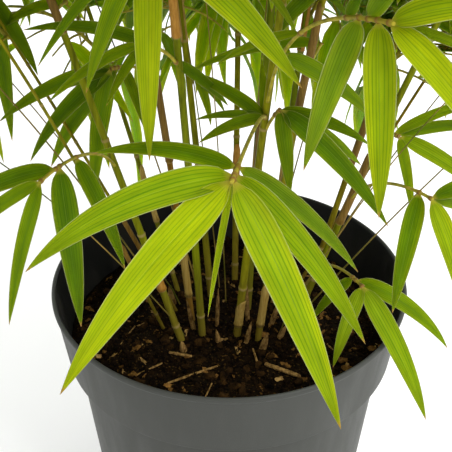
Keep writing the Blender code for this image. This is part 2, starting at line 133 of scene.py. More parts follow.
# The pot: one moulding of grey polypropylene, with a rolled lip over a deep collar. Its inside
# is painted near black: painted shade for the shadow in the pot. The collar steps in to the
# wall, which tapers to a foot with a shallow recess.
# Fine moulding grain dulls it, and a little dust lies on it.
POT_HEIGHT = 0.200
POT_COLLAR_FOOT = 0.1543
POT_OUTLINE = (
    # radius, height and rounding of each corner, from under the foot out, up and in again
    (0.0000, 0.0014, 0.0),
    (0.0680, 0.0014, 0.0010),
    (0.0700, 0.0000, 0.0006),
    (0.0812, 0.0000, 0.0012),
    (0.0828, 0.0022, 0.0012),
    (0.0977, POT_COLLAR_FOOT + 0.0008, 0.0006),
    (0.1034, POT_COLLAR_FOOT, 0.0012),
    (0.1087, 0.1958, 0.0008),
    (0.1099, 0.1968, 0.0008),
    (0.1099, 0.1990, 0.0009),
    (0.1085, POT_HEIGHT, 0.0007),
    (0.1072, 0.1990, 0.0006),
    (0.1005, POT_COLLAR_FOOT + 0.0020, 0.0008),
    (0.0948, POT_COLLAR_FOOT, 0.0008),
    (0.0798, 0.0032, 0.0010),
    (0.0000, 0.0032, 0.0),
)
POT_LIP_RADIUS = 0.1080  # the grey begins here on top of the lip
POT_INSIDE_FOOT = 0.003
POT_SIDES = 192
CORNER_STEPS = 5
POT_GREY = (0.053, 0.055, 0.049)
GREY_CLOUDS = (0.90, 1.12)  # how far the grey wanders, darker and lighter
POT_DUST = (0.085, 0.084, 0.075)
# painted shade: the inner wall is coloured near black for the shadow inside the pot
POT_INSIDE_PAINTED_SHADE = (0.0075, 0.0078, 0.0072)
POT_SOILED = (0.020, 0.014, 0.009)


def add(material, kind, values=None, **settings):
    """A new shader node of this kind, with values for its sockets and settings."""
    node = material.node_tree.nodes.new("ShaderNode" + kind)
    for setting, value in settings.items():
        setattr(node, setting, value)
    for socket, value in (values or {}).items():
        plug(material, value, node.inputs[socket])
    return node


def plug(material, value, socket):
    """Sets a socket to a number or colour, or links it to another node's output."""
    if isinstance(value, bpy.types.NodeSocket):
        material.node_tree.links.new(value, socket)
    elif socket.type == "RGBA":
        socket.default_value = (*value, 1.0)
    else:
        socket.default_value = value


def sums(material, operation, *values):
    """A Math node's result on these values."""
    node = add(material, "Math", operation=operation)
    for index, value in enumerate(values):
        plug(material, value, node.inputs[index])
    return node.outputs[0]


def between(material, value, low, high, start=0.0, end=1.0):
    """The value stretched so that low to high becomes start to end, and kept within them."""
    values = {"Value": value, "From Min": low, "From Max": high, "To Min": start, "To Max": end}
    return add(material, "MapRange", values).outputs[0]


def blend(material, share, first, second):
    """Two colours mixed by a share from 0 to 1."""
    node = add(material, "Mix", data_type="RGBA")
    plug(material, share, node.inputs[0])
    plug(material, first, node.inputs[6])
    plug(material, second, node.inputs[7])
    return node.outputs[2]


def place_on(material, stretch=(1.0, 1.0, 1.0)):
    """The place on the piece, in metres, stretched by these numbers."""
    coordinates = add(material, "TexCoord")
    return add(material, "Mapping", {0: coordinates.outputs["Object"], 3: stretch}).outputs[0]


def grain(material, scale, detail=3.0, stretch=(1.0, 1.0, 1.0), roughness=0.5):
    """Soft noise on the piece from about 0.3 to 0.7, with this many lumps in a metre."""
    values = {"Vector": place_on(material, stretch), "Scale": scale, "Detail": detail}
    values["Roughness"] = roughness
    return add(material, "TexNoise", values).outputs[0]


def relief(material, shader, height, depth, strength=1.0):
    """Gives the shader a surface relief from a height of 0 to 1, this many metres deep."""
    values = {"Height": height, "Distance": depth, "Strength": strength}
    plug(material, add(material, "Bump", values).outputs[0], shader.inputs["Normal"])


def rounded(outline):
    """The points of an outline of corners, each with its rounding, as smooth bends."""
    corners = [np.array(corner[:2]) for corner in outline]
    points = [corners[0]]
    for before, here, after, (_, _, rounding) in zip(corners, corners[1:], corners[2:], outline[1:]):
        start = here + (before - here) / np.linalg.norm(before - here) * rounding
        end = here + (after - here) / np.linalg.norm(after - here) * rounding
        for share in np.linspace(0.0, 1.0, CORNER_STEPS + 1):
            points.append(
                start * (1 - share) ** 2 + here * 2 * share * (1 - share) + end * share**2
            )
    return points + [corners[-1]]


def turned(name, profile, sides):
    """A closed mesh turned from a profile of radius and height that starts and ends on the axis."""
    points = [(0.0, 0.0, profile[0][1]), (0.0, 0.0, profile[-1][1])]
    rings = []
    for radius, height in profile[1:-1]:
        rings.append(range(len(points), len(points) + sides))
        for side in range(sides):
            angle = 2 * math.pi * side / sides
            points.append((radius * math.cos(angle), radius * math.sin(angle), height))
    faces = []
    for side in range(sides):
        after = (side + 1) % sides
        faces.append((0, rings[0][after], rings[0][side]))
        faces.append((1, rings[-1][side], rings[-1][after]))
        for low, high in zip(rings, rings[1:]):
            faces.append((low[side], low[after], high[after], high[side]))
    return mesh_of(name, points, faces)


pot_profile = rounded(POT_OUTLINE)
pot = piece_of("pot_moulding", turned("pot_moulding", pot_profile, POT_SIDES))
pot_grey, pot_shader = finish("pot_grey", POT_GREY, {"Specular IOR Level": 0.15})
cloudy = grain(pot_grey, 16, 4.0)
scuffed = grain(pot_grey, 60, 5.0, (1.0, 1.0, 0.18), 0.65)
dusty = between(pot_grey, scuffed, 0.56, 0.76, 0.0, 0.35)
greys = blend(pot_grey, cloudy, *(tuple(c * share for c in POT_GREY) for share in GREY_CLOUDS))
plug(pot_grey, blend(pot_grey, dusty, greys, POT_DUST), pot_shader.inputs["Base Color"])
plug(pot_grey, between(pot_grey, scuffed, 0.3, 0.75, 0.40, 0.62), pot_shader.inputs["Roughness"])
relief(pot_grey, pot_shader, grain(pot_grey, 1500, 2.0), 0.00010)
# The inside wall: near black as painted shade for the shadow in the pot, with patches of soil stain.
pot_inside_painted_shade, inside_shade_shader = finish("pot_inside_painted_shade", POT_INSIDE_PAINTED_SHADE, {"Specular IOR Level": 0.35})
soiled = between(pot_inside_painted_shade, grain(pot_inside_painted_shade, 45, 5.0, (1.0, 1.0, 0.35)), 0.50, 0.72, 0.0, 0.55)
plug(pot_inside_painted_shade, blend(pot_inside_painted_shade, soiled, POT_INSIDE_PAINTED_SHADE, POT_SOILED), inside_shade_shader.inputs["Base Color"])
plug(pot_inside_painted_shade, between(pot_inside_painted_shade, soiled, 0.0, 0.5, 0.45, 0.80), inside_shade_shader.inputs["Roughness"])
relief(pot_inside_painted_shade, inside_shade_shader, grain(pot_inside_painted_shade, 900, 3.0), 0.00012)
pot.data.materials.append(pot_grey)
pot.data.materials.append(pot_inside_painted_shade)
# The inner wall's faces take the painted shade; the outside and the top of the lip stay grey.
for face in pot.data.polygons:
    inside = face.center.z > POT_INSIDE_FOOT and face.normal.z > -0.5
    outward = face.normal.x * face.center.x + face.normal.y * face.center.y > 0
    lip = math.hypot(face.center.x, face.center.y) > POT_LIP_RADIUS
    face.material_index = int(inside and not outward and not lip)
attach(pot, "root")
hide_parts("pot")


# The soil: moist peat and bark that fills the pot to its collar, lumpy on top and a little
# higher in the middle, where the clump has pushed it up.
SOIL_TOP = 0.165
SOIL_DROP = 0.0042
SOIL_LEVEL = 0.070
SOIL_EDGE = 0.1004
SOIL_RINGS = 66
SOIL_SIDES = 220
SOIL_LUMPS = ((62.0, 0.0022), (190.0, 0.0013), (520.0, 0.0007))  # lumps in a metre, and height
SOIL_WALL = ((0.0998, 0.1572), (0.0942, 0.1550), (0.0791, 0.0036), (0.0, 0.0036))
PEAT = (0.010, 0.006, 0.003)
PEAT_DARK = (0.0012, 0.0006, 0.0003)
PEAT_BROWN = (0.014, 0.007, 0.002)
PEAT_FLECK = (0.100, 0.052, 0.012)


def soil_height(x, y):
    """How high the soil stands at this place."""
    share = min(max((math.hypot(x, y) - SOIL_LEVEL) / (SOIL_EDGE - SOIL_LEVEL), 0.0), 1.0)
    height = SOIL_TOP - SOIL_DROP * share * share
    for lumps, tall in SOIL_LUMPS:
        height += noise.noise(Vector((x * lumps, y * lumps, lumps))) * tall
    return height


soil_profile = [(0.0, 0.0)]
soil_profile += [(SOIL_EDGE * ring / SOIL_RINGS, 0.0) for ring in range(1, SOIL_RINGS + 1)]
soil = piece_of("soil_bed", turned("soil_bed", soil_profile + list(SOIL_WALL), SOIL_SIDES))
for vertex in soil.data.vertices:
    if vertex.co.z == 0.0:
        vertex.co.z = soil_height(vertex.co.x, vertex.co.y)
soil.data.flip_normals()
peat, peat_shader = finish("peat", PEAT, {"Specular IOR Level": 0.05})
peat_shade = between(peat, grain(peat, 260, 6.0, roughness=0.7), 0.38, 0.70)
peat_fleck = between(peat, grain(peat, 620, 3.0), 0.60, 0.72)
peat_colour = blend(peat, peat_fleck, blend(peat, peat_shade, PEAT_DARK, PEAT_BROWN), PEAT_FLECK)
plug(peat, peat_colour, peat_shader.inputs["Base Color"])
plug(peat, between(peat, peat_shade, 0.0, 1.0, 0.98, 0.72), peat_shader.inputs["Roughness"])
relief(peat, peat_shader, grain(peat, 1100, 5.0, roughness=0.7), 0.0008)
soil.data.materials.append(peat)
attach(soil, "root")
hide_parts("soil")


# The crumbs and bark on the soil: peat crumbs, bark chips of three ages and wood fibre. They
# lie scattered, sunk a little into the bed.
SCATTERS = {
    # how many to a square metre, smallest and largest, length, width and height, seed, and the
    # dark and the light end of the colour
    "peat_crumbs": (
        76000, 0.0005, 0.0016, (1.1, 0.9, 0.7), 1, (0.0014, 0.0007, 0.0003), (0.018, 0.009, 0.003),
    ),
    "bark_dark": (
        7500, 0.0014, 0.0036, (1.3, 0.8, 0.55), 2, (0.004, 0.002, 0.0007), (0.042, 0.020, 0.005),
    ),
    "bark_brown": (
        4200, 0.0010, 0.0028, (1.7, 0.7, 0.45), 3, (0.050, 0.023, 0.005), (0.25, 0.125, 0.030),
    ),
    "bark_pale": (
        1100, 0.0008, 0.0020, (2.6, 0.7, 0.40), 4, (0.16, 0.085, 0.022), (0.46, 0.29, 0.10),
    ),
}
BIT_LEAN = 0.45  # radians that a crumb or chip may lie off the level
BREAK_SCALE = 620.0
BREAK_DEPTH = 0.0046
BED_EDGE = 0.975
BED_RINGS = 30
BED_SIDES = 90
BED_FOOT = -1.0  # closes the disc under the bed, and is taken off again


def growing_tree(name, inputs):
    """A Geometry Nodes tree with named inputs, and a maker of its nodes."""
    tree = bpy.data.node_groups.new(name, "GeometryNodeTree")
    tree.interface.new_socket("Geometry", in_out="INPUT", socket_type="NodeSocketGeometry")
    tree.interface.new_socket("Geometry", in_out="OUTPUT", socket_type="NodeSocketGeometry")
    for label, kind in inputs:
        tree.interface.new_socket(label, in_out="INPUT", socket_type="NodeSocket" + kind)

    def step(kind, values=None, **settings):
        node = tree.nodes.new(kind)
        for setting, value in settings.items():
            setattr(node, setting, value)
        for socket, value in (values or {}).items():
            if isinstance(value, bpy.types.NodeSocket):
                tree.links.new(value, node.inputs[socket])
            else:
                node.inputs[socket].default_value = value
        return node

    return tree, step, tree.nodes.new("NodeGroupInput"), tree.nodes.new("NodeGroupOutput")


def grown(piece, tree, values):
    """Runs the tree on the piece with these inputs and leaves a plain mesh in its place."""
    modifier = piece.modifiers.new(tree.name, "NODES")
    modifier.node_group = tree
    for item in tree.interface.items_tree:
        if item.name in values:
            modifier[item.identifier] = values[item.name]
    graph = bpy.context.evaluated_depsgraph_get()
    mesh = bpy.data.meshes.new_from_object(piece.evaluated_get(graph))
    piece.modifiers.clear()
    piece.data = mesh
    return piece


scatter_inputs = (
    ("Density", "Float"), ("Smallest", "Float"), ("Largest", "Float"), ("Shape", "Vector"),
    ("Seed", "Int"), ("Finish", "Material"),
)
scatter, step, given, result = growing_tree("scatter", scatter_inputs)
spots = step("GeometryNodeDistributePointsOnFaces", {
    "Mesh": given.outputs["Geometry"], "Density": given.outputs["Density"],
    "Seed": given.outputs["Seed"],
})
lump = step("GeometryNodeMeshIcoSphere", {"Radius": 1.0, "Subdivisions": 2})
turn = step("FunctionNodeRandomValue", {
    0: (-BIT_LEAN, -BIT_LEAN, 0.0), 1: (BIT_LEAN, BIT_LEAN, 6.283),
}, data_type="FLOAT_VECTOR")
size = step("FunctionNodeRandomValue", {2: given.outputs["Smallest"], 3: given.outputs["Largest"]})
scaled = step("ShaderNodeVectorMath", {0: given.outputs["Shape"]}, operation="SCALE")
scatter.links.new(size.outputs[1], scaled.inputs["Scale"])
laid = step("GeometryNodeInstanceOnPoints", {
    "Points": spots.outputs["Points"], "Instance": lump.outputs["Mesh"],
    "Rotation": turn.outputs[0], "Scale": scaled.outputs[0],
})
real = step("GeometryNodeRealizeInstances", {"Geometry": laid.outputs[0]})
rough = step("ShaderNodeTexNoise", {"Scale": BREAK_SCALE, "Detail": 2.0})
centred = step("ShaderNodeVectorMath", {
    0: rough.outputs[1], 1: (0.5, 0.5, 0.5),
}, operation="SUBTRACT")
pushed = step("ShaderNodeVectorMath", {
    0: centred.outputs[0], "Scale": BREAK_DEPTH,
}, operation="SCALE")
broken = step("GeometryNodeSetPosition", {"Geometry": real.outputs[0], "Offset": pushed.outputs[0]})
coated = step("GeometryNodeSetMaterial", {
    "Geometry": broken.outputs[0], "Material": given.outputs["Finish"],
})
scatter.links.new(coated.outputs[0], result.inputs[0])


def soil_sheet(name):
    """The top of the soil alone, as a thin sheet for the bits to lie on."""
    rings = [(SOIL_EDGE * BED_EDGE * ring / BED_RINGS, 0.0) for ring in range(1, BED_RINGS + 1)]
    disc = turned(name, [(0.0, 0.0), *rings, (0.0, BED_FOOT)], BED_SIDES)
    points = []
    for x, y, z in (vertex.co for vertex in disc.vertices):
        points.append((x, y, soil_height(x, y) if z == 0.0 else 0.0))
    faces = [tuple(face.vertices) for face in disc.polygons if face.center.z > BED_FOOT / 10]
    sheet = bpy.data.meshes.new(name)
    sheet.from_pydata(points, [], faces)
    return sheet


for name, (density, smallest, largest, shape, seed, dark, pale) in SCATTERS.items():
    bits = piece_of(name, soil_sheet(name))
    flake, flake_shader = finish(name, dark, {"Roughness": 0.9, "Specular IOR Level": 0.05})
    shade = between(flake, grain(flake, 150, 1.0), 0.30, 0.70)
    fibre = between(flake, grain(flake, 1500, 3.0, (1.0, 0.3, 1.0)), 0.35, 0.70, 0.75, 1.25)
    colour = add(flake, "HueSaturation", {"Value": fibre, "Color": blend(flake, shade, dark, pale)})
    plug(flake, colour.outputs[0], flake_shader.inputs["Base Color"])
    relief(flake, flake_shader, fibre, 0.0002)
    grown(bits, scatter, {
        "Density": density, "Smallest": smallest, "Largest": largest, "Shape": shape,
        "Seed": seed, "Finish": flake,
    })
    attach(bits, "root")


# The canes: hollow green stems of one clump, ringed where their leaf sheaths sit, thin and
# whippy at the top. They turn yellow and brown with age, and stand sunk in the soil.
CANE_TIP_SHARE = 0.60
CANE_SINK = 0.006
SOIL_CLEAR = 0.0003  # the solids' culms begin this far above the soil
SOLID_STEPS = 7
CANE_STEPS = 49
CANE_SIDES = 14
CANE_SPACING = 0.010
RING_SWELLING = (
    # how far over a ring, how much thicker the cane is there, and how much of the ring shows
    (-0.0030, 1.00, 0.0), (-0.0013, 1.05, 0.0), (-0.0002, 1.17, 1.0), (0.0006, 1.15, 1.0),
    (0.0014, 0.96, 0.0), (0.0034, 1.00, 0.0),
)
RING_REACH = 0.0055
RING_STRIDE = 0.155  # the upper rings follow each other at this share of the cane's length
LAST_RING = 0.97
CANE_GREEN = (0.095, 0.150, 0.003)
CANE_STRAW = (0.200, 0.190, 0.005)
CANE_BROWN = (0.210, 0.095, 0.010)
CANE_FOOT = (0.230, 0.135, 0.030)
CANE_FOOT_TOP = SOIL_TOP + 0.07
RING_PALE = (0.330, 0.240, 0.085)
CULMS = {
    # foot x and y, heading, lean and bend of the solids' culms, their length and thickness,
    # how far along the first rings are, and how old it is, from green to straw
    "culm_left": (-0.030, -0.020, -84, 14.5, 3, 0.42, 0.0046, (0.03, 0.10, 0.20), 0.35),
    "culm_front_left": (-0.017, -0.014, -16, 8, 12, 0.49, 0.0046, (0.035, 0.22, 0.44), 0.25),
    "culm_brown": (-0.024, 0.002, -85, 5, 14, 0.47, 0.0040, (0.04, 0.14, 0.25), 0.95),
    "culm_front": (0.005, -0.014, 22, 11, 12, 0.48, 0.0048, (0.02, 0.09, 0.19), 0.45),
    "culm_front_right": (0.018, -0.019, 40, 8, 17, 0.43, 0.0042, (0.03, 0.12, 0.23), 0.55),
    "culm_right": (0.039, -0.010, 74, 16.5, 10, 0.41, 0.0044, (0.02, 0.11, 0.22), 0.30),
    "culm_thin_right": (0.040, 0.021, 98, 25, 8, 0.29, 0.0023, (0.05, 0.16, 0.30), 0.75),
    "culm_thin_left": (-0.035, 0.011, -76, 22, 6, 0.35, 0.0022, (0.04, 0.13, 0.25), 0.60),
    "culm_middle": (0.012, 0.012, 120, 3, 10, 0.53, 0.0048, (0.03, 0.10, 0.19), 0.15),
    "culm_back_left": (-0.012, 0.026, -150, 9, 15, 0.46, 0.0044, (0.03, 0.12, 0.22), 0.40),
    "culm_back_right": (0.026, 0.032, 146, 10, 15, 0.45, 0.0044, (0.04, 0.11, 0.21), 0.20),
    "culm_back": (0.004, 0.042, 178, 14, 14, 0.42, 0.0042, (0.03, 0.12, 0.24), 0.50),
    "culm_far_left": (-0.034, 0.030, -124, 17, 12, 0.38, 0.0032, (0.04, 0.14, 0.26), 0.30),
    "culm_far_right": (0.046, 0.006, 112, 15, 14, 0.42, 0.0040, (0.03, 0.12, 0.24), 0.65),
    "culm_low_left": (-0.042, -0.008, -40, 21, 10, 0.33, 0.0022, (0.05, 0.16, 0.30), 0.55),
}


def direction(heading, rise):
    """A step of one in this direction."""
    turned_by = math.radians(heading)
    raised = math.radians(rise)
    return Vector((
        math.sin(turned_by) * math.cos(raised),
        -math.cos(turned_by) * math.cos(raised),
        math.sin(raised),
    ))


def arc(start, heading, rise, droop, turn, length, steps):
    """Points along a limb that bends down by droop and round by turn from its foot to its tip."""
    points = [start.copy()]
    for index in range(steps):
        share = (index + 0.5) / steps - 0.5
        towards = direction(heading + turn * share, rise - droop * share)
        points.append(points[-1] + towards * (length / steps))
    return points


def along(points, share):
    """The point at this share of the way along, and the direction there."""
    place = min(max(share, 0.0), 1.0) * (len(points) - 1)
    first = min(int(place), len(points) - 2)
    stretch = points[first + 1] - points[first]
    return points[first] + stretch * (place - first), stretch.normalized()


def bowed(foot_x, foot_y, heading, lean, bend, length, steps):
    """Points up a stem that rises from the soil and leans over more and more."""
    points = [Vector((foot_x, foot_y, SOIL_TOP + SOIL_CLEAR))]
    for index in range(steps):
        share = (index + 0.5) / steps
        rise = 90 - lean - bend * share**2
        points.append(points[-1] + direction(heading, rise) * (length / steps))
    return points


def culm_line(culm, steps=SOLID_STEPS):
    """Points up a culm, as few as its solid has or more."""
    return bowed(*CULMS[culm][:6], steps)


def cane_radius(culm, share):
    """A cane's radius between its rings, at this share of the way up."""
    return CULMS[culm][6] / 2 * (1 + (CANE_TIP_SHARE - 1) * share)


def culm_at(culm, height):
    """The culm's middle, direction and radius where it passes this height."""
    points = culm_line(culm)
    for index, (lower, upper) in enumerate(zip(points, points[1:])):
        if upper.z >= height:
            share = (height - lower.z) / (upper.z - lower.z)
            radius = cane_radius(culm, (index + share) / (len(points) - 1))
            return lower.lerp(upper, share), (upper - lower).normalized(), radius
    return points[-1], (points[-1] - points[-2]).normalized(), cane_radius(culm, 1.0)


def cane_rings(culm):
    """The shares of the cane's length where its rings are."""
    rings = list(CULMS[culm][7])
    while rings[-1] + RING_STRIDE < LAST_RING:
        rings.append(rings[-1] + RING_STRIDE)
    return rings


tube_inputs = (("Sides", "Int"), ("Finish", "Material"))
tubes, step, given, result = growing_tree("tubes", tube_inputs)
line = step("GeometryNodeMeshToCurve", {"Mesh": given.outputs["Geometry"]})
thick = step("GeometryNodeInputNamedAttribute", {"Name": "thickness"}, data_type="FLOAT")
ring = step("GeometryNodeCurvePrimitiveCircle", {
    "Resolution": given.outputs["Sides"], "Radius": 1.0,
})
skin = step("GeometryNodeCurveToMesh", {
    "Curve": line.outputs[0], "Profile Curve": ring.outputs[0], "Scale": thick.outputs[0],
    "Fill Caps": True,
})
smooth = step("GeometryNodeSetShadeSmooth", {"Geometry": skin.outputs[0]})
real = step("GeometryNodeRealizeInstances", {"Geometry": smooth.outputs[0]})
coated = step("GeometryNodeSetMaterial", {
    "Geometry": real.outputs[0], "Material": given.outputs["Finish"],
})
tubes.links.new(coated.outputs[0], result.inputs[0])


def limbs(name, lines, sides, material):
    """One piece of tapering limbs. Each line is a list of stations: a point, the radius there
    and how much of a ring it is.
    """
    points, edges, thickness, ringed = [], [], [], []
    for line in lines:
        first = len(points)
        edges += [(first + index, first + index + 1) for index in range(len(line) - 1)]
        for place, radius, ring in line:
            points.append(tuple(place))
            thickness.append(radius)
            ringed.append(ring)
    mesh = bpy.data.meshes.new(name)
    mesh.from_pydata(points, edges, [])
    mesh.attributes.new("thickness", "FLOAT", "POINT").data.foreach_set("value", thickness)
    mesh.attributes.new("ringed", "FLOAT", "POINT").data.foreach_set("value", ringed)
    return grown(piece_of(name, mesh), tubes, {"Sides": sides, "Finish": material})


def cane_line(culm):
    """A cane's stations, from under the soil to its tip."""
    length = CULMS[culm][5]
    course = culm_line(culm, CANE_STEPS)
    shares = [0.0, *(np.arange(CANE_SPACING, length, CANE_SPACING) / length)]
    places = [(share, 1.0, 0.0) for share in shares]
    for share in cane_rings(culm):
        places = [place for place in places if abs(place[0] - share) * length > RING_REACH]
        for offset, swelling, ringed in RING_SWELLING:
            places.append((share + offset / length, swelling, ringed))
    foot, lead = along(course, 0.0)
    line = [(foot - lead * CANE_SINK, cane_radius(culm, 0.0), 0.0)]
    for share, swelling, ringed in sorted(places) + [(1.0, 1.0, 0.0)]:
        line.append((along(course, share)[0], cane_radius(culm, share) * swelling, ringed))
    return line


def cane_finish(culm):
    """The cane's skin: olive green, straw or brown by its age, tan at its foot, with pale rings."""
    age = CULMS[culm][8]
    base = [g + (s - g) * min(age * 2, 1) for g, s in zip(CANE_GREEN, CANE_STRAW)]
    worn = [s + (b - s) * max(age * 2 - 1, 0) for s, b in zip(base, CANE_BROWN)]
    skin, shader = finish(culm + "_skin", worn, {"Specular IOR Level": 0.03})
    streaks = grain(skin, 70, 4.0, (6.0, 6.0, 0.35))
    height = add(skin, "SeparateXYZ", {0: place_on(skin)}).outputs[2]
    pale = tuple(min(c * 1.4, 1.0) for c in worn)
    deep = tuple(c * 0.6 for c in worn)
    tint = blend(skin, between(skin, streaks, 0.30, 0.72), deep, pale)
    low = between(skin, height, SOIL_TOP, CANE_FOOT_TOP, 0.55, 0.0)
    tint = blend(skin, low, tint, CANE_FOOT)
    ringed = add(skin, "Attribute", attribute_name="ringed").outputs["Fac"]
    tint = blend(skin, sums(skin, "MULTIPLY", ringed, 0.75), tint, RING_PALE)
    plug(skin, tint, shader.inputs["Base Color"])
    plug(skin, between(skin, streaks, 0.3, 0.7, 0.30, 0.48), shader.inputs["Roughness"])
    relief(skin, shader, grain(skin, 900, 3.0, (1.0, 1.0, 0.08)), 0.00015)
    return skin


for culm in CULMS:
    cane = limbs(culm.replace("culm", "cane"), [cane_line(culm)], CANE_SIDES, cane_finish(culm))
    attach(cane, "root")
    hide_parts(culm)


# The whips: thin young stems and bare twigs, thin as wire, that stand between the canes and bow
# outwards. They grow from the same clump.
WHIPS = (
    # foot x and y, heading, lean, bend, length and thickness
    (-0.034, 0.004, -80, 26, 24, 0.36, 0.0012),
    (-0.030, 0.016, -96, 30, 18, 0.32, 0.0010),
    (-0.026, -0.016, -58, 30, 26, 0.30, 0.0010),
    (-0.020, 0.030, -128, 20, 26, 0.36, 0.0012),
    (-0.006, 0.034, -150, 12, 22, 0.38, 0.0010),
    (0.010, 0.030, 158, 8, 20, 0.40, 0.0012),
    (0.022, 0.024, 132, 16, 24, 0.36, 0.0011),
    (0.036, 0.004, 98, 27, 20, 0.30, 0.0010),
    (0.040, -0.004, 80, 32, 16, 0.30, 0.0011),
    (0.030, -0.014, 60, 22, 26, 0.32, 0.0010),
    (-0.002, 0.020, -30, 4, 14, 0.36, 0.0010),
)
WHIP_STEPS = 24
WHIP_SIDES = 6
WHIP_MIDDLE = (0.16, 0.15, 0.02)
WHIP_GREEN = (0.075, 0.090, 0.008)
WHIP_TAN = (0.300, 0.200, 0.045)


def tapering(places, foot_radius, end_radius):
    """A limb's stations through these points, evenly thinner from foot to end."""
    return [(p, r, 0.0) for p, r in zip(places, np.linspace(foot_radius, end_radius, len(places)))]


whip_lines = []
for *course, thickness in WHIPS:
    places = bowed(*course, WHIP_STEPS)
    places[0] -= Vector((0.0, 0.0, CANE_SINK))
    whip_lines.append(tapering(places, thickness / 2, thickness / 4))
whip_skin, whip_shader = finish("whip_green", WHIP_MIDDLE, {
    "Roughness": 0.5, "Specular IOR Level": 0.1,
})
whip_tint = between(whip_skin, grain(whip_skin, 22, 3.0), 0.36, 0.64)
whip_colour = blend(whip_skin, whip_tint, WHIP_GREEN, WHIP_TAN)
plug(whip_skin, whip_colour, whip_shader.inputs["Base Color"])
whips = limbs("whips", whip_lines, WHIP_SIDES, whip_skin)
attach(whips, "root")


# The litter: straws of old cane that lie on the soil, and the dry pointed husks that stand round
# the canes' feet. They are faded to tan.
STRAWS = (
    # x and y of its middle, the way it points, its length and thickness
    (-0.022, -0.052, 118, 0.034, 0.0016),
    (-0.049, -0.047, 122, 0.020, 0.0012),
    (-0.030, -0.034, 75, 0.015, 0.0020),
    (-0.013, -0.068, -18, 0.018, 0.0010),
    (0.032, -0.049, 62, 0.024, 0.0028),
    (0.016, -0.036, 12, 0.014, 0.0014),
    (-0.064, -0.014, -20, 0.022, 0.0010),
    (0.062, -0.026, 34, 0.020, 0.0012),
    (0.045, 0.050, 80, 0.024, 0.0014),
    (-0.040, 0.058, -58, 0.026, 0.0013),
    (0.004, 0.072, 86, 0.021, 0.0011),
    (0.075, 0.020, 8, 0.019, 0.0012),
)
HUSKS = (
    # foot x and y, the way it leans, how far from upright, height over the soil and thickness
    (-0.028, -0.029, -30, 12, 0.009, 0.0042),
    (0.020, -0.028, 40, 16, 0.016, 0.0044),
    (-0.006, -0.022, -80, 8, 0.012, 0.0034),
    (0.031, -0.016, 70, 20, 0.011, 0.0036),
    (-0.036, 0.018, -120, 14, 0.014, 0.0040),
    (0.014, 0.044, 160, 12, 0.012, 0.0038),
    (-0.022, -0.010, -60, 10, 0.026, 0.0030),
    (-0.008, -0.004, 20, 6, 0.032, 0.0026),
    (0.010, -0.021, 50, 12, 0.020, 0.0030),
    (0.012, 0.001, -20, 7, 0.036, 0.0028),
    (0.026, -0.006, 80, 14, 0.024, 0.0032),
    (-0.018, 0.014, -110, 9, 0.030, 0.0028),
    (0.028, 0.016, 130, 12, 0.028, 0.0030),
)
STRAW_SHAPE = (
    # how far along, and how thick there
    (0.0, 0.35), (0.03, 0.85), (0.30, 0.95), (0.36, 1.15), (0.40, 0.95), (0.75, 1.0), (0.97, 0.8),
    (1.0, 0.3),
)
HUSK_SHAPE = ((0.0, 1.0), (0.30, 1.06), (0.52, 0.98), (0.74, 0.70), (0.90, 0.36), (1.0, 0.05))
STRAW_LIFT = 0.3  # a straw's middle lies this share of its thickness over the soil
HUSK_SINK = 0.003
LITTER_SIDES = 9
TAN = (0.40, 0.24, 0.08)
TAN_DARK = (0.075, 0.036, 0.008)
TAN_PALE = (0.400, 0.240, 0.075)


def on_soil(x, y, above):
    """The point this far above the soil."""
    return Vector((x, y, soil_height(x, y) + above))


litter_lines = []
for x, y, heading, length, thickness in STRAWS:
    reach = direction(heading, 0) * (length / 2)
    first = on_soil(x - reach.x, y - reach.y, thickness * STRAW_LIFT)
    last = on_soil(x + reach.x, y + reach.y, thickness * STRAW_LIFT)
    litter_lines.append([
        (first.lerp(last, share), thickness / 2 * size, 0.0) for share, size in STRAW_SHAPE
    ])
for x, y, heading, lean, height, thickness in HUSKS:
    foot = on_soil(x, y, -HUSK_SINK)
    lead = direction(heading, 90 - lean)
    litter_lines.append([
        (foot + lead * (HUSK_SINK + height) * share, thickness / 2 * size, 0.0)
        for share, size in HUSK_SHAPE
    ])
dry_cane, dry_shader = finish("dry_cane", TAN, {"Roughness": 0.8, "Specular IOR Level": 0.1})
dry_streaks = between(dry_cane, grain(dry_cane, 420, 4.0, (1.0, 1.0, 0.6), 0.7), 0.36, 0.66)
plug(dry_cane, blend(dry_cane, dry_streaks, TAN_DARK, TAN_PALE), dry_shader.inputs["Base Color"])
relief(dry_cane, dry_shader, dry_streaks, 0.0002)
litter = limbs("litter", litter_lines, LITTER_SIDES, dry_cane)
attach(litter, "root")


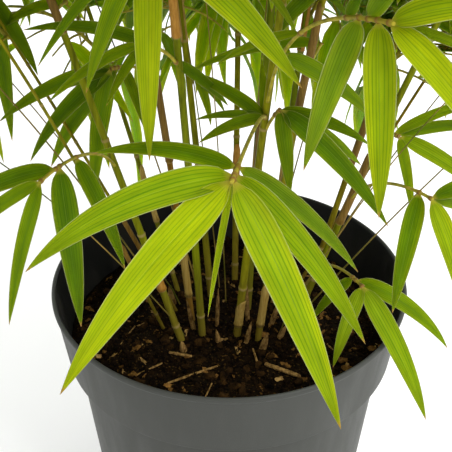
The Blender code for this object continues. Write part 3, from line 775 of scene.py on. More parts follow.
# The sheaths: papery husks that clasp the canes above each ring, orange and beige where they
# have dried, and open on one side. They end in a point.
SHEATH_CLEAR = 0.00010
SHEATH_THICKNESS = 0.00018
SHEATH_LAP = 0.0002
SHEATH_COLLAR = 0.0016
SHEATH_COLLAR_SWELLING = 0.14
SHEATH_FLARE = 0.0006
SHEATH_NARROWING = 0.86
SHEATH_COLUMNS = 13
SHEATH_ROWS = 12
SHEATHS = (
    # culm, which ring, facing, length, how far round, and tone
    ("culm_front_left", 2, 0, 0.100, 350, "orange"),
    ("culm_left", 1, 30, 0.030, 320, "orange"),
    ("culm_left", 4, -20, 0.050, 300, "brown"),
    ("culm_brown", 0, 0, 0.040, 330, "beige"),
    ("culm_brown", 2, 20, 0.060, 320, "brown"),
    ("culm_front", 0, 40, 0.024, 300, "beige"),
    ("culm_front_right", 0, 0, 0.036, 320, "beige"),
    ("culm_front_right", 3, -40, 0.070, 320, "brown"),
    ("culm_right", 0, -30, 0.026, 300, "brown"),
    ("culm_right", 2, -60, 0.050, 300, "brown"),
    ("culm_thin_left", 1, 40, 0.040, 310, "brown"),
    ("culm_middle", 2, 0, 0.060, 320, "brown"),
    ("culm_middle", 4, 30, 0.060, 310, "orange"),
    ("culm_back_left", 1, 30, 0.046, 310, "brown"),
    ("culm_back_left", 3, -170, 0.055, 310, "beige"),
    ("culm_back_right", 1, -20, 0.046, 310, "beige"),
    ("culm_back_right", 3, 150, 0.055, 310, "orange"),
    ("culm_back", 1, 10, 0.046, 310, "orange"),
    ("culm_far_left", 1, 40, 0.040, 310, "beige"),
    ("culm_far_right", 2, -60, 0.048, 310, "brown"),
    ("culm_low_left", 1, 20, 0.036, 310, "brown"),
)
SHEATH_TONES = {
    "orange": ((0.330, 0.150, 0.018), (0.560, 0.290, 0.052)),
    "beige": ((0.290, 0.175, 0.030), (0.560, 0.400, 0.110)),
    "brown": ((0.120, 0.068, 0.008), (0.280, 0.160, 0.028)),
}


def shell_faces(rows, columns):
    """The faces of a closed thin shell of two grids of points, the outer one first."""
    grid = np.arange(rows * columns).reshape(rows, columns)
    under = grid + rows * columns
    faces = []
    for row in range(rows - 1):
        for column in range(columns - 1):
            square = (slice(row, row + 2), slice(column, column + 2))
            (a, b), (c, d) = grid[square]
            faces.append((a, b, d, c))
            (a, b), (c, d) = under[square]
            faces.append((a, c, d, b))
    rim = [*grid[0, :], *grid[1:, -1], *grid[-1, -2::-1], *grid[-2:0:-1, 0]]
    rim_under = [*under[0, :], *under[1:, -1], *under[-1, -2::-1], *under[-2:0:-1, 0]]
    for index, place in enumerate(rim):
        after = (index + 1) % len(rim)
        faces.append((rim[after], place, rim_under[index], rim_under[after]))
    return np.array(faces)


def sheath_points(culm, ring_number, facing, length, wrap):
    """Two grids of points round the cane: the husk's outside and its inside."""
    course = culm_line(culm, CANE_STEPS)
    start = cane_rings(culm)[ring_number]
    grids = [[], []]
    for row in range(SHEATH_ROWS):
        up = row / (SHEATH_ROWS - 1)
        share = start + up * length / CULMS[culm][5]
        middle, lead = along(course, share)
        side = lead.cross(direction(facing, 0)).normalized()
        front = side.cross(lead)
        radius = cane_radius(culm, share)
        collar = math.exp(-((up * length / SHEATH_COLLAR) ** 2))
        radius += SHEATH_CLEAR + radius * SHEATH_COLLAR_SWELLING * collar + up**6 * SHEATH_FLARE
        reach = math.radians(wrap) / 2 * (1 - SHEATH_NARROWING * up**3.2)
        for column in range(SHEATH_COLUMNS):
            angle = reach * (2 * column / (SHEATH_COLUMNS - 1) - 1)
            outwards = front * math.cos(angle) + side * math.sin(angle)
            lap = SHEATH_LAP * (column / (SHEATH_COLUMNS - 1))
            grids[0].append(middle + outwards * (radius + lap + SHEATH_THICKNESS))
            grids[1].append(middle + outwards * (radius + lap))
    return grids[0] + grids[1]


sheath_faces = shell_faces(SHEATH_ROWS, SHEATH_COLUMNS)
for tone, (dark, pale) in SHEATH_TONES.items():
    points, faces = [], []
    for culm, ring_number, facing, length, wrap, husk_tone in SHEATHS:
        if husk_tone == tone:
            faces += [tuple(face) for face in sheath_faces + len(points)]
            points += sheath_points(culm, ring_number, facing, length, wrap)
    sheaths = piece_of(f"sheaths_{tone}", mesh_of(f"sheaths_{tone}", points, faces))
    husk, husk_shader = finish(f"husk_{tone}", pale, {"Roughness": 0.6, "Specular IOR Level": 0.15})
    fibres = grain(husk, 120, 5.0, (9.0, 9.0, 0.5), 0.6)
    blotches = between(husk, grain(husk, 60, 3.0), 0.35, 0.70)
    husk_colour = blend(husk, between(husk, fibres, 0.32, 0.70), dark, pale)
    husk_colour = blend(husk, sums(husk, "MULTIPLY", blotches, 0.45), husk_colour, dark)
    plug(husk, husk_colour, husk_shader.inputs["Base Color"])
    relief(husk, husk_shader, fibres, 0.0003)
    sheaths.data.materials.append(husk)
    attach(sheaths, "root")


# The front sprays: each is a yellow twig that leaves a cane and arches over, clasped by short
# overlapping sheaths towards its end. From each sheath's mouth grows one lance-shaped leaf.
TWIG_STEPS = 24
TWIG_RADIUS = 0.00085
TWIG_SIDES = 10
TWIG_SEAT = 0.75  # a twig begins at this share of the cane's radius
# the twig's lit and its shaded colour, which noise streaks over it as painted light and shade
TWIG_YELLOW = (0.42, 0.29, 0.035)
TWIG_PAINTED_LIT = (0.44, 0.36, 0.030)
TWIG_PAINTED_SHADE = (0.22, 0.20, 0.012)
MOUTH_BROWN = (0.20, 0.085, 0.022)
LAST_LEAF = 0.985
MOUTHS = (
    # how far over a sheath's mouth, how much thicker the twig is there, and how brown
    (-0.0052, 1.05, 0.0), (-0.0014, 1.32, 0.2), (-0.0002, 1.62, 1.0), (0.0004, 1.58, 1.0),
    (0.0010, 1.02, 0.3),
)
MOUTH_REACH = 0.0012
FRONT_LIGHT = Vector((0.0, -0.80, 0.60))
SPRAYS = {
    # cane, height where the twig leaves it, heading, rise, droop, turn and length, then for
    # each leaf its place on the twig, heading, rise, droop, length, width and tone. Most headings,
    # rises and lengths here are a solver's results for points picked on the photo.
    "leaves_centre": ("culm_front", 0.334, -8, 16.1, 30, -6, 0.132, (
        (0.90, 74, -39, 30, 0.066, 0.85, 5),
        (0.91, -98, 2, 40, 0.059, 0.90, 4),
        (0.95, 58, -44, 28, 0.085, 0.92, 2),
        (0.96, -75, -20, 46, 0.091, 1.02, 2),
        (1.00, 44, -55, 18, 0.108, 0.98, 1),
        (1.00, -62, -45, 22, 0.110, 0.98, 0),
        (1.00, -19, -57, 12, 0.054, 0.38, 1),
        (0.05, -73, -15, 34, 0.036, 1.30, 4),
        (0.02, -126, 13, 22, 0.053, 1.00, 4),
        (0.04, -119, -16, 26, 0.043, 0.80, 4),
        (0.02, -178, 33, 16, 0.036, 1.00, 4),
    )),
    "leaves_top_right": ("culm_front", 0.341, 16, 35.1, 48, 20, 0.161, (
        (0.80, 12, 35, 30, 0.046, 0.80, 4),
        (0.90, 23, 38, 34, 0.052, 1.05, 5),
        (0.86, -34, -52, 22, 0.060, 1.28, 5),
        (0.94, 3, -64, 16, 0.071, 1.22, 1),
        (1.00, 47, -38, 24, 0.080, 1.00, 0),
        (1.00, 62, 12, 40, 0.066, 1.10, 1),
        (1.00, 82, -22, 24, 0.057, 0.50, 2),
        (0.50, -99, -26, 34, 0.041, 0.75, 3),
        (0.30, 112, -40, 24, 0.069, 0.95, 3),
    )),
    "leaves_top_left": ("culm_front_left", 0.415, -1, 22.7, 50, 0, 0.111, (
        (0.90, -8, -79, 10, 0.087, 0.90, 0),
        (0.94, 59, -35, 24, 0.078, 1.15, 1),
        (0.97, -54, -61, 18, 0.060, 0.98, 3),
        (1.00, -65, -43, 24, 0.060, 0.64, 4),
    )),
    "leaves_left": ("culm_left", 0.292, -22, 21.9, 60, -14, 0.082, (
        (0.62, 55, -64, 20, 0.064, 1.05, 4),
        (0.80, 18, -77, 14, 0.088, 1.05, 4),
        (0.84, -87, -25, 40, 0.064, 1.05, 4),
        (1.00, -47, -69, 14, 0.078, 0.72, 3),
        (1.00, -77, -37, 30, 0.062, 0.84, 3),
    )),
    "leaves_right": ("culm_right", 0.312, 42, 13.5, 30, 0, 0.011, (
        (0.60, 92, 19, 30, 0.071, 0.60, 2),
        (0.80, 112, -9, 30, 0.075, 0.64, 3),
        (1.00, 18, -57, 18, 0.044, 1.05, 3),
        (1.00, 78, -33, 26, 0.069, 0.90, 2),
    )),
    "leaves_low_right": ("culm_right", 0.268, 26, 28.3, 50, 10, 0.081, (
        (0.88, -26, -65, 18, 0.064, 1.20, 4),
        (1.00, 53, -66, 18, 0.075, 1.02, 1),
        (1.00, 90, 9, 44, 0.070, 0.86, 4),
        (1.00, 116, -30, 30, 0.074, 0.90, 3),
    )),
    "leaves_pot_right": ("culm_right", 0.218, 24, 19.3, 46, 6, 0.051, (
        (0.80, -119, -60, 20, 0.048, 1.02, 4),
        (0.86, 78, -36, 44, 0.070, 1.00, 3),
        (1.00, -44, -65, 18, 0.051, 1.25, 2),
        (1.00, 61, -60, 18, 0.093, 0.92, 2),
    )),
    "leaves_back_left": ("culm_brown", 0.338, -61, 15.6, 36, 0, 0.026, (
        (0.70, 36, -57, 30, 0.036, 1.20, 4),
        (0.84, -90, -26, 34, 0.076, 0.85, 3),
        (0.90, -82, -47, 30, 0.074, 0.95, 4),
        (1.00, -54, -78, 14, 0.077, 1.02, 3),
        (0.80, -105, -56, 22, 0.083, 0.95, 3),
    )),
    "leaves_left_middle": ("culm_front_left", 0.361, -33, 35.6, 30, 0, 0.036, (
        (0.70, -76, 13, 40, 0.062, 0.80, 4),
        (0.90, -37, -37, 24, 0.035, 1.10, 4),
        (1.00, -65, -24, 30, 0.051, 0.85, 3),
        (0.05, 128, -46, 16, 0.048, 0.90, 4),
    )),
    "leaves_middle": ("culm_front", 0.321, 40, 56.2, 20, 0, 0.018, (
        (0.90, 84, -20, 36, 0.051, 1.05, 4),
        (1.00, 67, -42, 26, 0.082, 0.95, 4),
        (1.00, 15, -62, 16, 0.044, 1.40, 4),
        (0.70, 112, -38, 24, 0.067, 1.00, 3),
    )),
}
HIGH_SPRAYS = (
    # the same for six short twigs higher up, four of them at the picture's upper edge
    ("culm_front", 0.405, -74, 34, 20, 0, 0.016, (
        (1.00, 101, -55, 20, 0.038, 0.85, 2),
    )),
    ("culm_front_right", 0.390, 172, 39, 16, 0, 0.014, (
        (1.00, -128, -51, 22, 0.052, 1.25, 4),
        (0.80, 125, -46, 24, 0.030, 0.90, 4),
    )),
    ("culm_thin_left", 0.372, -124, 62, 16, 0, 0.014, (
        (1.00, 80, -63, 22, 0.051, 1.15, 4),
        (0.90, 171, -86, 20, 0.090, 0.95, 3),
    )),
    ("culm_left", 0.383, 158, 6, 16, 0, 0.010, (
        (1.00, -104, -27, 36, 0.048, 0.95, 3),
    )),
    ("culm_front_right", 0.354, 126, 58, 20, 0, 0.017, (
        (1.00, -98, -17, 34, 0.072, 0.62, 3),
    )),
    ("culm_back_left", 0.305, 163, 38, 16, 0, 0.010, (
        (1.00, 114, -75, 20, 0.040, 1.05, 3),
        (0.80, 119, -55, 24, 0.038, 0.90, 4),
    )),
)
LEAF_WIDTH = 0.142
LEAF_OUTLINE = (
    # how far along the rib, and how broad there
    (0.0, 0.10), (0.015, 0.14), (0.035, 0.34), (0.065, 0.62), (0.10, 0.80), (0.15, 0.93),
    (0.22, 1.0), (0.34, 0.985), (0.48, 0.90), (0.62, 0.755), (0.75, 0.57), (0.86, 0.355),
    (0.93, 0.19), (0.97, 0.09), (0.99, 0.035), (1.0, 0.0),
)
LEAF_TWIST = 12
LEAF_FOLDS = (5, 15)
LEAF_SWINGS = (0.010, 0.045)
LEAF_RIPPLES = (6, 11)
LEAF_RIPPLE_SLANT = 1.3
LEAF_THICKNESS = 0.0042
LEAF_TONES = (
    # the lit and the shaded stripe of each tone, from the yellowest leaf to the bluest. The darker
    # tones go to leaves that hang in shade behind others, and are partly painted shade
    ((0.390, 0.470, 0.003), (0.220, 0.330, 0.003)),
    ((0.340, 0.430, 0.003), (0.145, 0.250, 0.003)),
    ((0.260, 0.360, 0.003), (0.110, 0.215, 0.003)),
    ((0.175, 0.280, 0.002), (0.090, 0.180, 0.002)),
    ((0.095, 0.180, 0.001), (0.050, 0.115, 0.001)),
    ((0.165, 0.272, 0.010), (0.092, 0.178, 0.006)),
)
STRIP_MARGIN = 0.03  # what each strip of the leaf pattern leaves free on both sides
STRIPES = 8.6
STRIPE_WANDER = 2.2
STRIPE_STRETCH = 0.16
VEINS = 260.0
RIB_PLACE = 0.485
LEAF_RIB = (0.42, 0.54, 0.10)
LEAF_EDGE = (0.50, 0.52, 0.13)
LEAF_FOOT = (0.50, 0.42, 0.045)
LEAF_TIP = (0.42, 0.19, 0.035)


def leaf_faces(rows, columns):
    """The faces of a blade: its root, rows of points on top, those beneath, and its tip."""
    top = 1 + np.arange(rows * (columns + 1)).reshape(rows, columns + 1)
    under = top.copy()
    under[:, 1:-1] = 1 + rows * (columns + 1) + np.arange(rows * (columns - 1)).reshape(rows, -1)
    tip = 1 + rows * (columns + 1) + rows * (columns - 1)
    faces = []
    for column in range(columns):
        for grid, step in ((top, 1), (under, -1)):
            faces.append((0, grid[0, column + 1], grid[0, column])[::step])
            faces.append((grid[-1, column], grid[-1, column + 1], tip)[::step])
            for row in range(rows - 1):
                faces.append((
                    grid[row, column], grid[row, column + 1], grid[row + 1, column + 1],
                    grid[row + 1, column],
                )[::step])
    return faces


def leaf_points(root, heading, rise, droop, length, half, light, rows, columns, chance):
    """A blade's points, in the order of leaf_faces: an arched rib with a fold, a twist and waves."""
    shares = np.concatenate(([0.0], rows, [1.0]))
    middles = (shares[1:] + shares[:-1]) / 2
    rises = np.radians(rise - droop * (np.concatenate((middles, shares)) - 0.5))
    turned_by = math.radians(heading)
    towards = np.stack((
        math.sin(turned_by) * np.cos(rises), -math.cos(turned_by) * np.cos(rises), np.sin(rises),
    ), axis=1)
    steps = towards[:len(middles)] * (np.diff(shares) * length)[:, None]
    rib = np.array(root) + np.concatenate((np.zeros((1, 3)), np.cumsum(steps, axis=0)))
    lead = towards[len(middles):]
    across = np.cross(lead, np.array(light))
    across /= np.linalg.norm(across, axis=1)[:, None]
    above = np.cross(across, lead)
    twist = math.radians(chance.uniform(-LEAF_TWIST, LEAF_TWIST)) * shares[:, None]
    across, above = (
        across * np.cos(twist) + above * np.sin(twist),
        above * np.cos(twist) - across * np.sin(twist),
    )
    breadth = np.interp(shares, *zip(*LEAF_OUTLINE)) * half
    fold = math.radians(chance.uniform(*LEAF_FOLDS))
    sides = np.linspace(-1.0, 1.0, columns + 1)
    swing = chance.uniform(*LEAF_SWINGS)
    phase = chance.uniform(0, 6.28)
    ripples = shares[:, None] * chance.uniform(*LEAF_RIPPLES)
    wave = np.sin(ripples + phase + sides * LEAF_RIPPLE_SLANT) * np.abs(sides) * swing
    lift = (np.abs(sides) ** 1.15) * math.sin(fold) + wave
    spread = sides * math.cos(fold)
    top = rib[:, None] + across[:, None] * (breadth[:, None] * spread)[..., None]
    top += above[:, None] * (breadth[:, None] * lift)[..., None]
    thick = length * LEAF_THICKNESS * np.sqrt(breadth / half + 0.02)[:, None] * (1 - sides[1:-1] ** 2)
    under = top[:, 1:-1] - above[:, None] * thick[..., None]
    return np.concatenate((rib[:1], top[1:-1].reshape(-1, 3), under[1:-1].reshape(-1, 3), rib[-1:]))


def leaf_places(rows, columns, strip, strips, flipped):
    """Where a blade's points lie on the leaf pattern: its strip across, and its rib up."""
    sides = np.linspace(0.0, 1.0, columns + 1)
    if flipped:
        sides = sides[::-1]
    sides = (strip + STRIP_MARGIN + (1 - 2 * STRIP_MARGIN) * sides) / strips
    middle = (strip + 0.5) / strips
    up = np.array(rows)
    top = np.stack(np.meshgrid(sides, up), axis=-1)
    under = top[:, 1:-1]
    ends = np.array(((middle, 0.0), (middle, 1.0)))
    return np.concatenate((ends[:1], top.reshape(-1, 2), under.reshape(-1, 2), ends[1:]))


def leaf_piece(name, leaves, rows, columns, strips, material):
    """One piece of many blades, each given as its points, its tone and whether it is flipped."""
    pattern = leaf_faces(len(rows), columns)
    points = np.concatenate([blade for blade, _, _ in leaves])
    size = len(leaves[0][0])
    faces = [tuple(corner + first for corner in face)
             for first in range(0, len(points), size) for face in pattern]
    mesh = mesh_of(name, points, faces)
    places = np.concatenate([
        leaf_places(rows, columns, tone, strips, flipped) for _, tone, flipped in leaves
    ])
    corners = np.empty(len(mesh.loops), dtype=np.int64)
    mesh.loops.foreach_get("vertex_index", corners)
    mesh.uv_layers.new(name="OFBake").data.foreach_set("uv", places[corners].ravel())
    mesh.set_sharp_from_angle(angle=math.radians(60))
    mesh.materials.append(material)
    return piece_of(name, mesh)


def leaf_stripes(blade, side, up, number):
    """A blade's noise, its fine veins, and how far each place lies in a shaded stripe."""
    drawn = add(blade, "CombineXYZ", {
        0: side, 1: sums(blade, "MULTIPLY", up, STRIPE_STRETCH),
        2: sums(blade, "MULTIPLY", number, 3.7),
    }).outputs[0]
    wander = add(blade, "TexNoise", {"Vector": drawn, "Scale": 4.0, "Detail": 2.0}).outputs[0]
    turns = sums(blade, "MULTIPLY", side, STRIPES)
    turns = sums(blade, "ADD", turns, sums(blade, "MULTIPLY", wander, STRIPE_WANDER))
    furrow = sums(blade, "ABSOLUTE", sums(blade, "SUBTRACT", sums(blade, "FRACT", turns), 0.5))
    banded = add(blade, "TexNoise", {"Vector": drawn, "Scale": 11.0, "Detail": 2.5}).outputs[0]
    strength = between(blade, banded, 0.34, 0.60, 0.30, 1.0)
    lines = sums(blade, "MULTIPLY", between(blade, furrow, 0.21, 0.04), strength)
    veins = sums(blade, "SINE", sums(blade, "MULTIPLY", side, VEINS))
    broad = add(blade, "TexNoise", {"Vector": drawn, "Scale": 2.6, "Detail": 1.0}).outputs[0]
    shaded = sums(blade, "MULTIPLY", lines, 1.05)
    shaded = sums(blade, "ADD", shaded, between(blade, broad, 0.62, 0.36, 0.0, 0.5))
    shaded = sums(blade, "ADD", shaded, sums(blade, "MULTIPLY", veins, 0.07))
    return banded, veins, shaded


def tone_ramp(blade, across, colours):
    """The colour of the strip that this place across the leaf pattern lies in."""
    node = add(blade, "ValToRGB", {0: across})
    node.color_ramp.interpolation = "CONSTANT"
    elements = node.color_ramp.elements
    for index, colour in enumerate(colours):
        if index >= 2:
            elements.new(index / len(colours))
        elements[index].position = index / len(colours)
        elements[index].color = (*colour, 1.0)
    return node.outputs[0]


def leaf_finish(name, tones, contrast, gloss, glow):
    """Leaf green in stripes along the blade, with veins, a pale rib and edges, a yellow foot and
    a dry tip. It is drawn in as many strips as there are tones.
    """
    blade, shader = finish(name, tones[0][0], {
        "Specular IOR Level": gloss, "Subsurface Weight": glow, "Subsurface Scale": 0.002,
        "Subsurface Radius": (1.0, 1.4, 0.2),
    })
    place = add(blade, "UVMap", uv_map="OFBake").outputs[0]
    across, up, _ = add(blade, "SeparateXYZ", {0: place}).outputs
    strip = sums(blade, "MULTIPLY", across, float(len(tones)))
    number = sums(blade, "FLOOR", strip)
    side = between(blade, sums(blade, "FRACT", strip), STRIP_MARGIN, 1 - STRIP_MARGIN)
    banded, veins, shaded = leaf_stripes(blade, side, up, number)
    lit_colour = tone_ramp(blade, across, [lit for lit, _ in tones])
    deep_colour = tone_ramp(blade, across, [deep for _, deep in tones])
    colour = blend(blade, sums(blade, "MULTIPLY", shaded, contrast), lit_colour, deep_colour)
    cloud = add(blade, "CombineXYZ", {
        0: side, 1: sums(blade, "MULTIPLY", up, 2.2), 2: number,
    }).outputs[0]
    clouds = add(blade, "TexNoise", {"Vector": cloud, "Scale": 1.8, "Detail": 3.0}).outputs[0]
    colour = add(blade, "HueSaturation", {
        "Value": between(blade, clouds, 0.30, 0.70, 0.82, 1.15), "Color": colour,
    }).outputs[0]
    rib = sums(blade, "ABSOLUTE", sums(blade, "SUBTRACT", side, RIB_PLACE))
    rib_share = sums(blade, "MULTIPLY", between(blade, rib, 0.012, 0.004), 0.16)
    colour = blend(blade, rib_share, colour, LEAF_RIB)
    edge = sums(blade, "ABSOLUTE", sums(blade, "SUBTRACT", side, 0.5))
    edge_share = sums(blade, "MULTIPLY", between(blade, edge, 0.466, 0.490), 0.45)
    colour = blend(blade, edge_share, colour, LEAF_EDGE)
    colour = blend(blade, between(blade, up, 0.050, 0.012), colour, LEAF_FOOT)
    colour = blend(blade, between(blade, up, 0.955, 0.982), colour, LEAF_TIP)
    plug(blade, colour, shader.inputs["Base Color"])
    plug(blade, between(blade, banded, 0.3, 0.7, 0.36, 0.50), shader.inputs["Roughness"])
    ridges = sums(blade, "ADD", sums(blade, "MULTIPLY", veins, 0.18), banded)
    relief(blade, shader, ridges, 0.00030)
    return blade


def stem_start(culm, height, heading, rise):
    """Where a twig begins in the cane's skin, on the side that it leaves by."""
    middle, lead, radius = culm_at(culm, height)
    outwards = direction(heading, rise)
    across = math.sqrt(max(1 - outwards.dot(lead) ** 2, 0.04))
    return middle + outwards * (radius * TWIG_SEAT / across)


def twig_line(course, mouths):
    """A twig's stations, with a sheath's flared mouth at each of these shares."""
    length = sum((b - a).length for a, b in zip(course, course[1:]))
    places = [(share, 1.0, 0.0) for share in np.linspace(0.0, 1.0, TWIG_STEPS)]
    for mouth in mouths:
        places = [place for place in places if abs(place[0] - mouth) * length > MOUTH_REACH]
        for offset, swelling, browned in MOUTHS:
            if 0.0 < mouth + offset / length < 1.0:
                places.append((mouth + offset / length, swelling, browned))
    return [
        (along(course, share)[0], TWIG_RADIUS * swelling, browned)
        for share, swelling, browned in sorted(places)
    ]


LEAF_ROWS = np.array((
    0.012, 0.028, 0.045, 0.065, 0.09, 0.12, 0.16, 0.20, 0.25, 0.30, 0.36, 0.42, 0.48, 0.54, 0.60,
    0.66, 0.72, 0.78, 0.83, 0.88, 0.92, 0.95, 0.972, 0.988,
))
LEAF_COLUMNS = 8
front_twigs, front_leaves = [], []
chance = random.Random(7)
for culm, height, heading, rise, droop, turn, length, leaves in (*SPRAYS.values(), *HIGH_SPRAYS):
    start = stem_start(culm, height, heading - turn / 2, rise + droop / 2)
    course = arc(start, heading, rise, droop, turn, length, TWIG_STEPS)
    mouths = sorted({min(place, LAST_LEAF) for place, *_ in leaves})
    front_twigs.append(twig_line(course, mouths))
    for place, leaf_heading, leaf_rise, leaf_droop, leaf_length, width, tone in leaves:
        root = along(course, min(place, LAST_LEAF))[0]
        half = leaf_length * LEAF_WIDTH * width / 2
        blade = leaf_points(
            root, leaf_heading, leaf_rise, leaf_droop, leaf_length, half, FRONT_LIGHT,
            LEAF_ROWS, LEAF_COLUMNS, chance,
        )
        front_leaves.append((blade, tone, chance.random() < 0.5))

twig_skin, twig_shader = finish("twig_yellow", TWIG_YELLOW, {"Specular IOR Level": 0.2})
twig_streaks = grain(twig_skin, 260, 3.0)
# Painted light and shade: noise streaks the twig between its lit and its shaded colour.
twig_painted_shade_share = between(twig_skin, twig_streaks, 0.35, 0.68)
twig_colour = blend(twig_skin, twig_painted_shade_share, TWIG_PAINTED_LIT, TWIG_PAINTED_SHADE)
mouth = add(twig_skin, "Attribute", attribute_name="ringed").outputs["Fac"]
mouth = sums(twig_skin, "MULTIPLY", mouth, 0.8)
twig_colour = blend(twig_skin, mouth, twig_colour, MOUTH_BROWN)
plug(twig_skin, twig_colour, twig_shader.inputs["Base Color"])
twig_gloss = between(twig_skin, twig_streaks, 0.3, 0.7, 0.36, 0.52)
plug(twig_skin, twig_gloss, twig_shader.inputs["Roughness"])
relief(twig_skin, twig_shader, grain(twig_skin, 1800, 2.0), 0.00012)
twigs = limbs("front_twigs", front_twigs, TWIG_SIDES, twig_skin)
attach(twigs, "root")
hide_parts(*SPRAYS)
striped = leaf_finish("leaf_striped", LEAF_TONES, 1.0, 0.06, 0.3)
blades = leaf_piece(
    "front_leaves", front_leaves, LEAF_ROWS, LEAF_COLUMNS, len(LEAF_TONES), striped,
)
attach(blades, "root")


# The crown: leafy branches at the canes' joints and on their ends. Each forks into twigs and
# these into twiglets, with a fan of hanging leaves on every tip. The front is open low down.
BRANCHES = {
    # cane, height where the branch leaves it, heading and length
    "leaves_side_1": ("culm_far_left", 0.32, -112, 0.070),
    "leaves_side_2": ("culm_back_left", 0.34, -160, 0.085),
    "leaves_side_3": ("culm_back", 0.34, 165, 0.070),
    "leaves_side_4": ("culm_back_right", 0.34, 138, 0.085),
    "leaves_side_5": ("culm_far_right", 0.32, 136, 0.075),
    "leaves_side_6": ("culm_thin_left", 0.36, -92, 0.070),
    "leaves_side_7": ("culm_left", 0.43, -64, 0.090),
    "leaves_side_8": ("culm_far_left", 0.40, -146, 0.085),
    "leaves_side_9": ("culm_back", 0.42, 158, 0.085),
    "leaves_side_10": ("culm_far_right", 0.41, 82, 0.085),
    "leaves_side_11": ("culm_front_right", 0.50, 56, 0.095),
    "leaves_side_12": ("culm_front_left", 0.52, -48, 0.095),
    "leaves_side_13": ("culm_front", 0.53, 0, 0.095),
    "leaves_side_14": ("culm_middle", 0.56, -176, 0.095),
    "leaves_side_15": ("culm_back_left", 0.50, -112, 0.095),
    "leaves_side_16": ("culm_back_right", 0.50, 108, 0.095),
    "leaves_side_17": ("culm_brown", 0.48, -90, 0.085),
    "leaves_side_18": ("culm_middle", 0.44, 60, 0.070),
}
BRANCH_RISE = 20
BRANCH_DROOP = 60
BRANCH_TWIGS = 3
BRANCH_STEPS = 8
BRANCH_RADII = (0.0013, 0.0009)  # at the foot and at the end
TIP_LENGTH = 0.150
TIP_DROOP = 44
TIP_TWIGS = 4
TIP_SINK = 0.002
TWIG_FIRST = 0.30
TWIG_SPAN = 0.54
TWIG_SPREADS = (44, 80)
TWIG_RISES = (-22, 12)
TWIG_LENGTHS = (0.40, 0.60)
TWIG_DROOP = 30
TWIG_RADII = (0.0010, 0.0007)
TWIG_LEAVES = 3
STEM_LEAVES = 4
LEAF_SPACING = 0.16
END_SPREADS = (6, 20)
SIDE_SPREADS = (34, 66)
LEAF_DROPS = (14, 52)
LEAF_DROOPS = (22, 46)
LEAF_LENGTHS = (0.084, 0.108)
LEAF_LOSS = 0.06
LEAF_WIDTHS = (1.02, 1.20)
LEAF_SCALE = 0.86  # the solids' leaves are larger than life
SHORT_STEPS = 6  # for twigs, and for leaves where their place is tested
OUTWARD = 0.35
SPACE_REACH = 0.130
OPEN_FRONT_Y = -0.045
OPEN_FRONT_FOOT = 0.400
OPEN_FRONT_SLOPE = 0.373
OPEN_FRONT_HALF_WIDTH = 0.108
OPEN_FRONT_TAPER = 0.23
OPEN_BACK_FOOT = 0.262
OPEN_BACK_Y = 0.05
TWIGLET_SHARES = {
    "stem": (0.14, 0.28, 0.42, 0.56, 0.70, 0.84),
    "twig": (0.26, 0.46, 0.66, 0.86),
}
TWIGLET_SPREADS = (30, 62)
TWIGLET_RISES = (-16, 20)
TWIGLET_DROOP = 26
TWIGLET_LENGTHS = (0.026, 0.044)
TWIGLET_STEPS = 4
TWIGLET_RADII = (0.0008, 0.0005)
TWIGLET_LEAVES = 4
CROWN_ROWS = np.array((0.05, 0.14, 0.30, 0.48, 0.66, 0.82, 0.94))
CROWN_COLUMNS = 2
CROWN_TWIG_SIDES = 5
CROWN_MARGIN = 0.008
FOOT_TWIGLETS = 13
FOOT_SPACING = 0.030
FOOT_SPREADS = (15, 130)
FOOT_RISES = (-56, 24)
FOOT_LIFT = 12
FOOT_HANG = 0.085  # how far under the solid's box a side branch's lowest leaves may hang
CORE_Y = 0.015
CORE_RADIUS = 0.070
CORE_TOP = 0.52
CORE_LOSS = 0.55
# painted light: fans above these heights take the sunlit and the half-shade tones
SUNLIT_HEIGHT = 0.66
HALF_SHADE_HEIGHT = 0.48
HEIGHT_SCATTER = 0.16
SKY_WINDOWS = (
    # where the front view looks through between the leaves: how far across and up it passes the
    # clump's middle, and the opening's radius. A program worked these out from circles on the
    # photo's bright gaps, and another program had found part of those circles.
    (-0.116, 0.334, 0.010), (-0.125, 0.312, 0.008), (-0.108, 0.304, 0.009), (-0.124, 0.293, 0.007),
    (-0.088, 0.292, 0.007), (-0.063, 0.302, 0.006), (-0.096, 0.349, 0.007), (-0.112, 0.354, 0.005),
    (-0.092, 0.336, 0.004), (-0.122, 0.344, 0.004), (-0.101, 0.323, 0.005), (-0.072, 0.346, 0.003),
    (0.004, 0.329, 0.004), (0.001, 0.297, 0.006), (0.063, 0.333, 0.005), (0.101, 0.328, 0.007),
    (0.114, 0.290, 0.006), (-0.103, 0.356, 0.005), (-0.114, 0.373, 0.006), (-0.100, 0.373, 0.006),
    (-0.071, 0.371, 0.006), (0.003, 0.377, 0.006), (0.052, 0.365, 0.007), (0.108, 0.378, 0.006),
    (-0.053, 0.336, 0.006), (-0.013, 0.323, 0.004), (0.006, 0.342, 0.006), (0.035, 0.347, 0.006),
    (0.099, 0.313, 0.006), (0.074, 0.289, 0.004), (0.068, 0.327, 0.004), (0.048, 0.279, 0.005),
    (0.109, 0.318, 0.007), (-0.086, 0.344, 0.006), (-0.089, 0.351, 0.006), (-0.061, 0.354, 0.005),
    (-0.075, 0.357, 0.005), (-0.023, 0.347, 0.006), (-0.014, 0.354, 0.005), (0.038, 0.361, 0.005),
    (0.095, 0.337, 0.007), (0.119, 0.343, 0.006), (-0.083, 0.307, 0.006),
)
